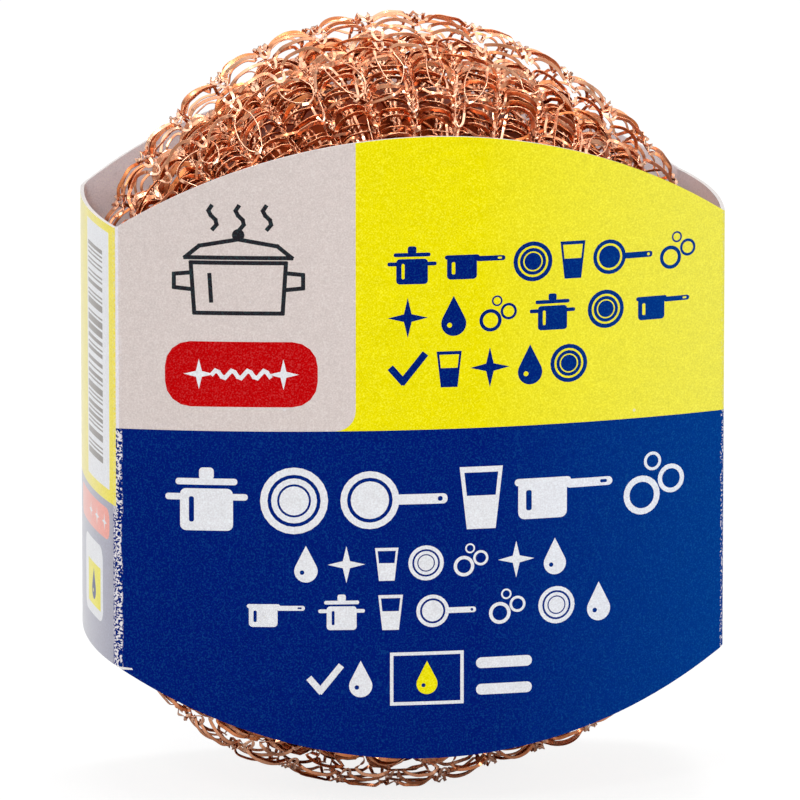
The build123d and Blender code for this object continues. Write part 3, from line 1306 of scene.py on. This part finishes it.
def counter_clockwise(outline: Outline) -> Outline:
    """Turns an outline's order round where it runs clockwise."""
    corners = zip(outline, outline[1:] + outline[:1])
    area = sum(x0 * y1 - x1 * y0 for (x0, y0), (x1, y1) in corners)
    return outline if area > 0 else outline[::-1]


def stroke_outline(points: Outline, width: float) -> list[Outline]:
    """Draws a line of some width as short bars that lap at its points.

    Args:
        points: The line's points.
        width: The line's width.

    Returns:
        An outline for each bar.
    """
    lap = 0.7
    bars = []
    for (x0, y0), (x1, y1) in zip(points, points[1:]):
        length = math.hypot(x1 - x0, y1 - y0)
        ux, uy = (x1 - x0) / length * width / 2, (y1 - y0) / length * width / 2
        x0, y0, x1, y1 = x0 - ux * lap, y0 - uy * lap, x1 + ux * lap, y1 + uy * lap
        bars.append([(x0 - uy, y0 + ux), (x0 + uy, y0 - ux), (x1 + uy, y1 - ux), (x1 - uy, y1 + ux)])
    return bars


@dataclass(frozen=True)
class Patch:
    """One flat area of ink on the blank, laid over those before it."""

    ink: Ink
    outline: Outline


def block(
    ink: Ink, left: float, low: float, right: float, high: float, corner: float = 0.0
) -> Patch:
    """A rectangle of ink, with rounded corners where a radius is given."""
    return Patch(ink, box_outline(left, low, right, high, corner))


class Motif(Enum):
    """Kitchen motifs, each with the letter that stands for it in a row."""

    STOCK_POT = "p"
    SAUCEPAN = "s"
    FRYING_PAN = "f"
    GLASS = "g"
    PLATE = "o"
    SPARKLE = "x"
    DROP = "d"
    BUBBLES = "b"
    TICK = "t"
    WAVE = "w"


@dataclass
class Motifs:
    """Motifs in one ink on a ground, each drawn round the middle of a square of one unit."""

    ink: Ink
    ground: Ink

    def __post_init__(self) -> None:
        """Draws the motifs, the lowest outline of each first."""
        ink, ground = self.ink, self.ground
        sparkle = [
            (far * math.cos(step * math.pi / 4), far * math.sin(step * math.pi / 4))
            for step, far in enumerate((0.48, 0.13) * 4)
        ]
        drop = [(0.0, 0.5)]
        for step in range(19):
            angle = math.radians(30 - step * 240 / 18)
            drop.append((0.3 * math.cos(angle), -0.16 + 0.3 * math.sin(angle)))
        bubbles: list[Patch] = []
        for x, y, radius in ((-0.2, -0.12, 0.27), (0.24, 0.08, 0.2), (-0.04, 0.34, 0.13)):
            bubbles.append(Patch(ink, disc_outline(x, y, radius)))
            bubbles.append(Patch(ground, disc_outline(x, y, radius * 0.68)))
        tick = stroke_outline([(-0.36, 0.02), (-0.1, -0.28), (0.4, 0.34)], 0.17)
        wave = [(-0.9 + 0.1 * i, 0.12 * math.sin(i * 1.26)) for i in range(19)]
        rings = (0.46, 0.36, 0.31, 0.23, 0.2)
        self.drawn: dict[Motif, list[Patch]] = {
            Motif.STOCK_POT: [
                block(ink, -0.36, -0.42, 0.36, 0.16, 0.08),
                block(ink, -0.56, 0.0, 0.56, 0.09, 0.04),
                block(ink, -0.42, 0.21, 0.42, 0.3, 0.04),
                block(ink, -0.1, 0.28, 0.1, 0.45, 0.05),
                block(ground, -0.24, -0.3, -0.17, 0.05, 0.03),
            ],
            Motif.SAUCEPAN: [
                block(ink, -0.55, -0.34, 0.14, 0.2, 0.09),
                block(ink, -0.6, 0.12, 0.2, 0.22, 0.05),
                block(ink, 0.12, 0.06, 0.8, 0.18, 0.06),
                block(ground, 0.62, 0.1, 0.72, 0.145, 0.02),
                block(ground, -0.44, -0.22, -0.36, 0.06, 0.03),
            ],
            Motif.FRYING_PAN: [
                block(ink, 0.1, -0.07, 0.86, 0.07, 0.06),
                Patch(ink, disc_outline(-0.2, 0.0, 0.4)),
                Patch(ground, disc_outline(-0.2, 0.0, 0.31)),
                Patch(ink, disc_outline(-0.2, 0.0, 0.26)),
                Patch(ground, disc_outline(0.76, 0.0, 0.035, count=10)),
            ],
            Motif.GLASS: [
                Patch(ink, [(-0.2, -0.44), (0.2, -0.44), (0.3, 0.42), (-0.3, 0.42)]),
                Patch(ground, [(-0.2, 0.02), (0.2, 0.02), (0.235, 0.34), (-0.235, 0.34)]),
            ],
            Motif.PLATE: [
                Patch(ground if ring % 2 else ink, disc_outline(0.0, 0.0, radius))
                for ring, radius in enumerate(rings)
            ],
            Motif.SPARKLE: [Patch(ink, sparkle)],
            Motif.DROP: [Patch(ink, drop), Patch(ground, disc_outline(-0.1, -0.2, 0.06, count=12))],
            Motif.BUBBLES: bubbles,
            Motif.TICK: [Patch(ink, bar) for bar in tick],
            Motif.WAVE: [Patch(ink, bar) for bar in stroke_outline(wave, 0.13)],
        }

    def place(self, motif: Motif, x: float, y: float, size: float) -> list[Patch]:
        """Puts one motif with its middle at a place.

        Args:
            motif: Which motif.
            x, y: Where its middle is.
            size: Size of its square.

        Returns:
            The patches of ink.
        """
        placed_patches = []
        for patch in self.drawn[motif]:
            outline = [(x + px * size, y + py * size) for px, py in patch.outline]
            placed_patches.append(Patch(patch.ink, outline))
        return placed_patches

    def row(self, letters: str, left: float, right: float, y: float, size: float) -> list[Patch]:
        """Draws a row of motifs with even gaps between two places.

        Args:
            letters: One letter for each motif, in the order of the row.
            left: Where the row starts.
            right: Where the row ends.
            y: Height of the row's middle.
            size: Size of each motif.

        Returns:
            The patches of ink.
        """
        motifs = [Motif(letter) for letter in letters]
        reaches = []
        for motif in motifs:
            places = [px * size for patch in self.drawn[motif] for px, _ in patch.outline]
            reaches.append((min(places), max(places)))
        taken = sum(high - low for low, high in reaches)
        gap = (right - left - taken) / max(len(motifs) - 1, 1)
        patches = []
        for motif, (low, high) in zip(motifs, reaches):
            patches += self.place(motif, left - low, y, size)
            left += high - low + gap
        return patches


@dataclass
class PaperSleeve:
    """The sleeve: one printed blank folded round the pad. The blank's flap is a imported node."""

    room: SleeveRoom
    body: str = "sleeve"
    panel_points: int = 121
    bend_points: int = 9
    crease_room: float = 0.7 * MM
    start_gap: float = 0.05 * MM
    end_gap: float = 0.02 * MM
    line_step: float = 1.6
    crease_reach: float = 0.72
    blue_height: float = 46.7
    side_glared_blue_height: float = 37.3
    rear_overlap: float = 0.9
    beige_edge: float = -8.75
    beige_corner: float = 2.4

    def __post_init__(self) -> None:
        """Lays out the folded path of the blank, with s = 0 at the middle of the front panel."""
        room = self.room
        share = np.linspace(-1, 1, self.panel_points)
        across, deep = share * room.half_width, share * room.half_depth
        wide, side = room.face_y(across, 0), room.face_x(deep, 0)
        back, left = np.stack([-across, wide], 1), np.stack([-side, -deep], 1)
        front, right = np.stack([across, -wide], 1), np.stack([side, deep], 1)
        path: list[np.ndarray] = []
        for panel in (back, left, front, right):
            cut = self.trimmed(panel, first=panel is back, last=panel is right)
            if path:
                path.append(self.bend(path[-1][-1], panel[0], cut[0]))
            path.append(cut)
        points = np.concatenate(path)
        self.path = points[np.append(True, np.diff(run_length(points)) > 1e-7)]
        walked = run_length(self.path)
        middle = np.argmin(np.abs(self.path[:, 0]) + 10 * np.maximum(self.path[:, 1], 0))
        self.walked = (walked - walked[middle]) / MM
        slope = unit(np.gradient(self.path, axis=0))
        self.outwards = np.stack([slope[:, 1], -slope[:, 0]], 1)
        self.front_half = half_arc(room.half_width, room.front_bow) / MM
        self.side_run = 2 * half_arc(room.half_depth, room.side_bow) / MM
        self.creases = (-self.front_half - self.side_run, -self.front_half, self.front_half)

    def trimmed(self, panel: np.ndarray, first: bool, last: bool) -> np.ndarray:
        """Cuts a panel back from its corners, apart from the blank's own two ends.

        Args:
            panel: Points from one corner to the next.
            first: Whether the blank starts with it.
            last: Whether the blank ends with it.

        Returns:
            As many points, between the cuts.
        """
        along = run_length(panel)
        start = self.start_gap if first else self.crease_room
        end = along[-1] - (self.end_gap if last else self.crease_room)
        at = np.linspace(start, end, len(panel))
        return np.stack([np.interp(at, along, panel[:, i]) for i in range(2)], 1)

    def bend(self, start: np.ndarray, corner: np.ndarray, end: np.ndarray) -> np.ndarray:
        """Rounded crease between two panels."""
        share = np.linspace(0, 1, self.bend_points)[1:-1, None]
        return (1 - share) ** 2 * start + 2 * share * (1 - share) * corner + share**2 * end

    def fold(self, along: np.ndarray, inset: float) -> np.ndarray:
        """Places on the folded board, seen from above.

        Args:
            along: Places on the blank in millimetres from the middle of the front panel.
            inset: Depth under the printed face.

        Returns:
            Their x and y.
        """
        at, out = (
            np.stack([np.interp(along, self.walked, rows[:, i]) for i in range(2)], 1)
            for rows in (self.path, self.outwards)
        )
        return at - unit(out) * inset

    def edge_height(self, along: np.ndarray) -> np.ndarray:
        """Finds how high the blank's cut edge is above its middle line.

        Args:
            along: Places on the blank in millimetres.

        Returns:
            The heights in millimetres.
        """
        room = self.room
        half, rise = room.half_width / MM, room.edge_rise / MM
        xy = self.fold(along, 0.0) / MM
        radius = arc_radius(half, rise)
        curve = np.sqrt(np.maximum(radius**2 - xy[:, 0] ** 2, 0)) - (radius - rise)
        bend_depth = 0.35
        on_wide = np.abs(xy[:, 1]) > room.half_depth / MM - bend_depth
        on_wide &= np.abs(xy[:, 0]) < half
        return room.half_edge / MM + np.where(on_wide, np.maximum(curve, 0), 0)

    def artwork(self) -> list[Patch]:
        """Draws the print of the whole blank, the lowest ink first.

        Returns:
            The patches of ink.
        """
        low, high = -20.0, 110.0
        start, end = self.walked[0] - 1, self.walked[-1] + 1
        rear, crease = self.creases[:2]
        blue, glared_blue = self.blue_height, self.side_glared_blue_height
        foot = (self.room.centre_z - self.room.half_edge) / MM
        nick = [(0.1, -0.05), (0.5, -0.4), (2.0, -0.42), (1.9, -0.2)]
        art = [
            block(Ink.YELLOW, start, low, end, high),
            # Painted glare: on the left side panel the yellow and the blue are laid down paled.
            block(Ink.GLARE_PALED_YELLOW, rear, glared_blue - 1, crease, high - 1),
            block(Ink.GLARE_PALED_BLUE, rear, low - 2, crease, glared_blue),
            block(Ink.BLUE, start, low - 1, rear, blue),
            block(Ink.BLUE, rear - 0.1, 26.5, rear + self.rear_overlap, blue - 0.5),
            block(Ink.BLUE, crease, low - 3, end, blue),
            block(Ink.BLUE, crease - 0.85, low - 3, crease + 0.1, glared_blue - 1),
            Patch(Ink.BEIGE, self.beige_field(crease)),
            Patch(Ink.CUT_EDGE, [(crease + x, foot + y) for x, y in nick]),
            block(Ink.CREASE_LINE, crease + 0.05, blue, crease + 0.45, high),
        ]
        return art + self.front_motifs() + self.side_labels(crease) + self.back_motifs(rear)

    def beige_field(self, crease: float) -> Outline:
        """Draws the beige field, its lower right corner rounded.

        Args:
            crease: The crease at its left.

        Returns:
            Its outline.
        """
        top = 105.0
        low, right, corner = self.blue_height, self.beige_edge, self.beige_corner
        points = [(crease, top), (crease, low)]
        for step in range(7):
            angle = math.radians(-90 + step * 15)
            x, y = corner * math.cos(angle), corner * math.sin(angle)
            points.append((right - corner + x, low + corner + y))
        return points + [(right, top)]

    def front_motifs(self) -> list[Patch]:
        """Draws the motifs on the front panel.

        Returns:
            The patches of ink.
        """
        on_yellow, on_blue = Motifs(Ink.BLUE, Ink.YELLOW), Motifs(Ink.WHITE, Ink.BLUE)
        drawn = self.pot_drawing(-22.5, 65.2)
        drawn.append(block(Ink.RED, -31.2, 49.6, -13.2, 57.4, 3.0))
        drawn += Motifs(Ink.WHITE, Ink.RED).row("xwx", -29.0, -15.4, 53.5, 3.8)
        drawn += on_yellow.row("psogfb", -5.0, 33.2, 66.3, 5.2)
        drawn += on_yellow.row("xdbpos", -5.0, 32.4, 60.1, 5.0)
        drawn += on_yellow.row("tgxdo", -5.0, 19.2, 53.9, 5.0)
        drawn += on_blue.row("pofgsb", -31.2, 31.8, 38.4, 8.7)
        drawn += on_blue.row("dxgobxd", -16.0, 16.6, 30.7, 4.6)
        drawn += on_blue.row("spgfbod", -21.6, 22.2, 24.9, 4.9)
        drawn.append(block(Ink.WHITE, -4.7, 13.6, 4.1, 20.0))
        drawn.append(block(Ink.BLUE, -4.3, 14.0, 3.7, 19.6))
        drawn += Motifs(Ink.YELLOW, Ink.BLUE).place(Motif.DROP, -0.3, 16.8, 4.2)
        drawn += on_blue.row("td", -14.6, -6.8, 16.8, 4.6)
        for height in (15.2, 18.4):
            drawn.append(block(Ink.WHITE, 5.6, height - 0.65, 12.4, height + 0.65, 0.6))
        return drawn

    def pot_drawing(self, x: float, y: float) -> list[Patch]:
        """Line drawing of a steaming pot in black.

        Args:
            x, y: Its middle on the blank.

        Returns:
            The patches of ink.
        """
        width = 0.5
        lines: list[Outline] = [
            [(-5.2, -4.4), (-5.6, 1.6), (5.6, 1.6), (5.2, -4.4), (-5.2, -4.4)],
            [(-6.3, 2.2), (-4.6, 3.6), (0.0, 4.4), (4.6, 3.6), (6.3, 2.2), (-6.3, 2.2)],
            [(-5.6, 0.4), (-7.6, 0.2), (-7.6, -1.4), (-5.5, -1.6)],
            [(5.6, 0.4), (7.6, 0.2), (7.6, -1.4), (5.5, -1.6)],
            [(-3.2, -3.0), (-3.4, 0.2)],
        ]
        for offset in (-3.0, 0.2, 3.4):
            lines.append([(offset + 0.5 * math.sin(i * 1.2), 5.6 + i * 0.55) for i in range(6)])
        drawn = []
        for line in lines:
            bars = stroke_outline([(x + px, y + py) for px, py in line], width)
            drawn += [Patch(Ink.BLACK, bar) for bar in bars]
        return drawn + [Patch(Ink.BLACK, disc_outline(x, y + 4.9, 0.75, count=14))]

    def side_labels(self, crease: float) -> list[Patch]:
        """Draws the labels of the left side panel.

        Args:
            crease: The crease at the panel's front.

        Returns:
            The patches of ink.
        """
        rng = np.random.default_rng(3)
        drawn = [block(Ink.WHITE, crease - 14.4, 38.8, crease - 2.3, 69.6)]
        height, top = 41.4, 66.6
        while height < top:
            thick = float(rng.choice([0.22, 0.22, 0.22, 0.5, 0.8]))
            drawn.append(block(Ink.GREY, crease - 13.6, height, crease - 5.2, height + thick))
            height += thick + float(rng.choice([0.28, 0.28, 0.45, 0.7]))
        # Painted glare: the side label's red is laid down paled to salmon.
        drawn.append(block(Ink.GLARE_PALED_RED, crease - 21.0, 32.6, crease - 2.4, 36.4, 1.3))
        drawn += Motifs(Ink.WHITE, Ink.GLARE_PALED_RED).row("xxx", crease - 13.6, crease - 3.6, 34.5, 2.4)
        drawn.append(block(Ink.WHITE, crease - 17.0, 22.0, crease - 5.6, 31.2, 1.6))
        drawn.append(block(Ink.YELLOW, crease - 14.6, 23.2, crease - 6.8, 28.4))
        return drawn + Motifs(Ink.BLUE, Ink.YELLOW).place(Motif.DROP, crease - 10.7, 25.8, 4.0)

    def back_motifs(self, rear: float) -> list[Patch]:
        """Draws the motifs on the back panel.

        Args:
            rear: The crease where the back panel ends.

        Returns:
            The patches of ink.
        """
        middle, half = rear - self.front_half, 31.0
        left, right = middle - half, middle + half
        on_blue = Motifs(Ink.WHITE, Ink.BLUE)
        drawn = Motifs(Ink.BLUE, Ink.YELLOW).row("spfogbx", left, right, 62.0, 6.4)
        drawn += on_blue.row("opfsg", left, right, 36.6, 9.0)
        drawn += on_blue.row("wwww", left + 8, right - 8, 26.0, 5.0)
        return drawn + on_blue.row("xdxdx", left + 16, right - 16, 18.0, 4.0)

    def lines_across(self) -> list[float]:
        """Finds where the blank is divided so that it can bow and fold.

        Returns:
            Places on the blank in millimetres, closer together over the creases.
        """
        clearance, digits = 0.35, 4
        places = set()
        for crease in self.creases:
            for step in np.linspace(-1.0, 1.0, 9):
                places.add(round(crease + step * self.crease_reach, digits))
        for place in np.arange(self.walked[0], self.walked[-1], self.line_step):
            if all(abs(place - other) > clearance for other in places):
                places.add(round(float(place), digits))
        places |= {round(float(self.walked[0]), digits), round(float(self.walked[-1]), digits)}
        return sorted(places)

    def board_mesh(self) -> bpy.types.Mesh:
        """Cuts the print into faces, folds them and gives the board its thickness.

        Returns:
            The closed mesh.
        """
        across = np.array(self.lines_across())
        middle = self.room.centre_z / MM
        rise = self.edge_height(across)
        points = [Vector((s, middle - h)) for s, h in zip(across, rise)]
        points += [Vector((s, middle + h)) for s, h in zip(across, rise)]
        count = len(across)
        faces = [list(range(count)) + list(range(2 * count - 1, count - 1, -1))]
        lines = [(i, i + count) for i in range(1, count - 1)]
        inks = [Ink.YELLOW]
        for patch in self.artwork():
            faces.append(list(range(len(points), len(points) + len(patch.outline))))
            points += [Vector(point) for point in counter_clockwise(patch.outline)]
            inks.append(patch.ink)
        inside, nearness = 1, 1e-4
        flat, _, cells, _, _, sources = delaunay_2d_cdt(
            points, lines, faces, inside, nearness, True
        )
        # Face 0 is the blank itself; of the patches over a cell, the last one shows.
        kept = [(cell, inks[max(source)]) for cell, source in zip(cells, sources) if 0 in source]
        used = sorted({index for cell, _ in kept for index in cell})
        renumber = {old: new for new, old in enumerate(used)}
        flat_xy = np.array([tuple(point) for point in flat])[used]
        return self.thicken(flat_xy, [(tuple(renumber[i] for i in c), ink) for c, ink in kept])

    def thicken(
        self, flat: np.ndarray, triangles: list[tuple[tuple[int, ...], Ink]]
    ) -> bpy.types.Mesh:
        """Folds the flat faces and closes them with an inside and cut edges.

        Args:
            flat: Points on the blank in millimetres.
            triangles: Their faces with the ink on each.

        Returns:
            The closed mesh.
        """
        size = len(flat)
        height = flat[:, 1] * MM
        outer = np.column_stack([self.fold(flat[:, 0], 0.0), height])
        inner = np.column_stack([self.fold(flat[:, 0], self.room.thickness), height])
        faces: list[tuple[int, ...]] = []
        inks: list[Ink] = []
        varnish: list[float] = []
        rims: dict[tuple[int, int], None] = {}
        for (a, b, c), ink in triangles:
            ab, ac = flat[b] - flat[a], flat[c] - flat[a]
            if ab[0] * ac[1] - ab[1] * ac[0] < 0:
                b, c = c, b
            faces += [(a, b, c), (c + size, b + size, a + size)]
            inks += [ink, Ink.INSIDE]
            varnish += [1.0, 0.0]
            rims |= dict.fromkeys([(a, b), (b, c), (c, a)])
        for a, b in rims:
            if (b, a) not in rims:
                faces.append((b, a, a + size, b + size))
                inks.append(Ink.CUT_EDGE)
                varnish.append(0.0)
        mesh = bpy.data.meshes.new("printed_sleeve")
        mesh.from_pydata(np.vstack([outer, inner]).tolist(), [], faces)
        corners = [len(face) for face in faces]
        shade = np.array([linear(ink.value) for ink in inks], np.float32)
        shades = mesh.attributes.new("ink", "FLOAT_COLOR", "CORNER")
        shades.data.foreach_set("color", np.repeat(shade, corners, axis=0).ravel())
        gloss = mesh.attributes.new("varnish", "FLOAT", "CORNER")
        gloss.data.foreach_set("value", np.repeat(np.array(varnish, np.float32), corners))
        blank = mesh.uv_layers.new(name="blank")
        index = np.zeros(len(mesh.loops), int)
        mesh.loops.foreach_get("vertex_index", index)
        blank.data.foreach_set("uv", (flat[index % size] * MM).astype(np.float32).ravel())
        mesh.shade_smooth()
        mesh.set_sharp_from_angle(angle=math.radians(40))
        return mesh

    def build(self) -> list[bpy.types.Object]:
        """Makes the folded sleeve and dresses its flap and glue.

        Returns:
            The new pieces.
        """
        creases = tuple(crease * MM for crease in self.creases)
        finish = PrintedBoardFinish("printed_sleeve_board", creases, creases[1])
        mesh = self.board_mesh()
        mesh.materials.append(finish.material())
        sleeve = placed("printed_sleeve", mesh)
        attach(sleeve, self.body)
        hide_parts("front_panel", "left_side_panel", "back_panel", "right_side_panel")
        plain = PlainBoardFinish("unprinted_board", Ink.INSIDE.value, 0.75)
        glue = PlainBoardFinish("dried_glue_skin", (222, 214, 188), 0.45)
        dress_node("glue_flap", plain.material())
        dress_node("glue_line", glue.material())
        return [sleeve]


@dataclass(frozen=True)
class Softbox:
    """A rectangular studio lamp."""

    name: str
    place: tuple[float, float, float]
    width: float
    height: float
    power: float

    def hang(self, aim: Vector) -> None:
        """Adds the lamp, turned to the object.

        Args:
            aim: What the lamp faces.
        """
        data = bpy.data.lights.new(self.name, "AREA")
        data.shape = "RECTANGLE"
        data.size = self.width
        data.size_y = self.height
        data.energy = self.power
        lamp = placed(self.name, data)
        lamp.location = self.place
        lamp.rotation_euler = facing(lamp.location, aim)


def facing(place: Vector, aim: Vector) -> Sequence[float]:
    """Turn of a lamp or camera that looks from a place at an aim."""
    return (aim - place).to_track_quat("-Z", "Y").to_euler()


@dataclass
class Studio:
    """Pale table, soft light and the camera."""

    azimuth: float = -9.02
    elevation: float = 11.1
    distance: float = 1.4
    lens: float = 527.9
    aim: tuple[float, float, float] = (-0.0001, 0.0, 0.04607)
    target: tuple[float, float, float] = (0.0, 0.0, 0.0451)
    floor_size: float = 4.0
    floor_glow: tuple[float, float] = (0.75, 1.12)
    world_strength: float = 0.43
    gloss_reach: tuple[float, float] = (-0.1, 0.85)
    gloss_strength: tuple[float, float] = (0.14, 1.9)
    lamps: tuple[Softbox, ...] = (
        Softbox("key_lamp", (-0.5, -0.9, 0.75), 0.25, 0.25, 3.1),
        Softbox("right_lamp", (0.75, -0.8, 0.45), 0.3, 0.4, 2.7),
        Softbox("top_lamp", (0.1, 0.15, 1.0), 0.4, 0.3, 3.0),
        Softbox("left_lamp", (-1.0, 0.45, 0.4), 0.3, 0.4, 2.6),
        Softbox("glint_lamp_0", (-0.8, -0.9, 0.3), 0.07, 0.07, 0.5),
        Softbox("glint_lamp_1", (0.3, -1.0, 0.85), 0.07, 0.07, 0.5),
        Softbox("glint_lamp_2", (-0.25, -0.4, 1.15), 0.07, 0.07, 0.5),
        Softbox("glint_lamp_3", (0.9, -0.45, 0.8), 0.07, 0.07, 0.5),
    )

    def build(self) -> None:
        """Sets up the camera, lamps, world and floor."""
        bpy.context.scene.view_settings.view_transform = "Standard"
        self.camera()
        for lamp in self.lamps:
            lamp.hang(Vector(self.target))
        self.world()
        self.floor()

    def camera(self) -> None:
        """Sets the camera at the photograph's place and angle."""
        azimuth, elevation = math.radians(self.azimuth), math.radians(self.elevation)
        level = math.cos(elevation)
        back = Vector((math.sin(azimuth) * level, -math.cos(azimuth) * level, math.sin(elevation)))
        data = bpy.data.cameras.new("camera")
        data.lens = self.lens
        data.sensor_width = 36.0
        data.clip_end = 20.0
        camera = placed("camera", data)
        camera.location = Vector(self.target) + back * self.distance
        camera.rotation_euler = facing(camera.location, Vector(self.aim))
        bpy.context.scene.camera = camera

    def world(self) -> None:
        """Soft white surroundings: full white to the camera, brighter overhead for gloss."""
        world = bpy.data.worlds.new("studio")
        world.use_nodes = True
        sheet = NodeSheet(world.node_tree)
        path = sheet.add("ShaderNodeLightPath").outputs
        heading = sheet.add("ShaderNodeTexCoord").outputs["Generated"]
        up = sheet.add("ShaderNodeSeparateXYZ", {0: heading}).outputs[2]
        gloss = sheet.between(up, *self.gloss_reach, *self.gloss_strength)
        feeds = {0: path["Is Glossy Ray"], 2: self.world_strength, 3: gloss}
        soft = sheet.add("ShaderNodeMix", feeds).outputs[0]
        seen = sheet.math("MAXIMUM", path["Is Camera Ray"], path["Is Transmission Ray"])
        strength = sheet.add("ShaderNodeMix", {0: seen, 2: soft, 3: 1.0}).outputs[0]
        feeds = {"Color": (1, 1, 1, 1), "Strength": strength}
        sky = sheet.add("ShaderNodeBackground", feeds)
        sheet.add("ShaderNodeOutputWorld", {"Surface": sky.outputs[0]})
        bpy.context.scene.world = world

    def floor(self) -> None:
        """Pale table top that keeps the object's shadow."""
        half = self.floor_size / 2
        corners = [(-half, -half, 0), (half, -half, 0), (half, half, 0), (-half, half, 0)]
        mesh = bpy.data.meshes.new("table_top")
        mesh.from_pydata(corners, [], [(0, 1, 2, 3)])
        share, strength = self.floor_glow
        finish, sheet = new_material("pale_table")
        seen = sheet.add("ShaderNodeLightPath").outputs["Is Camera Ray"]
        matt = sheet.add("ShaderNodeBsdfDiffuse", {"Color": (0.92, 0.92, 0.92, 1)}).outputs[0]
        feeds = {"Color": (1, 1, 1, 1), "Strength": strength}
        glow = sheet.add("ShaderNodeEmission", feeds).outputs[0]
        feeds = {0: sheet.times(seen, share), 1: matt, 2: glow}
        mixed = sheet.add("ShaderNodeMixShader", feeds)
        sheet.add("ShaderNodeOutputMaterial", {"Surface": mixed.outputs[0]})
        mesh.materials.append(finish)
        floor = placed("table_top", mesh)


def main() -> None:
    """Builds the studio, the pad and the sleeve, and reports each piece."""
    logging.basicConfig(level=logging.INFO, format="%(name)s: %(message)s")
    Studio().build()
    room = SleeveRoom()
    pieces = ScouringPad(PadForm(room)).build(FlatWireTool())
    pieces += PaperSleeve(room).build()
    for piece in pieces:
        piece.data.calc_loop_triangles()
        LOG.info("%s: %d triangles", piece.name, len(piece.data.loop_triangles))


if __name__ == "__main__":
    main()
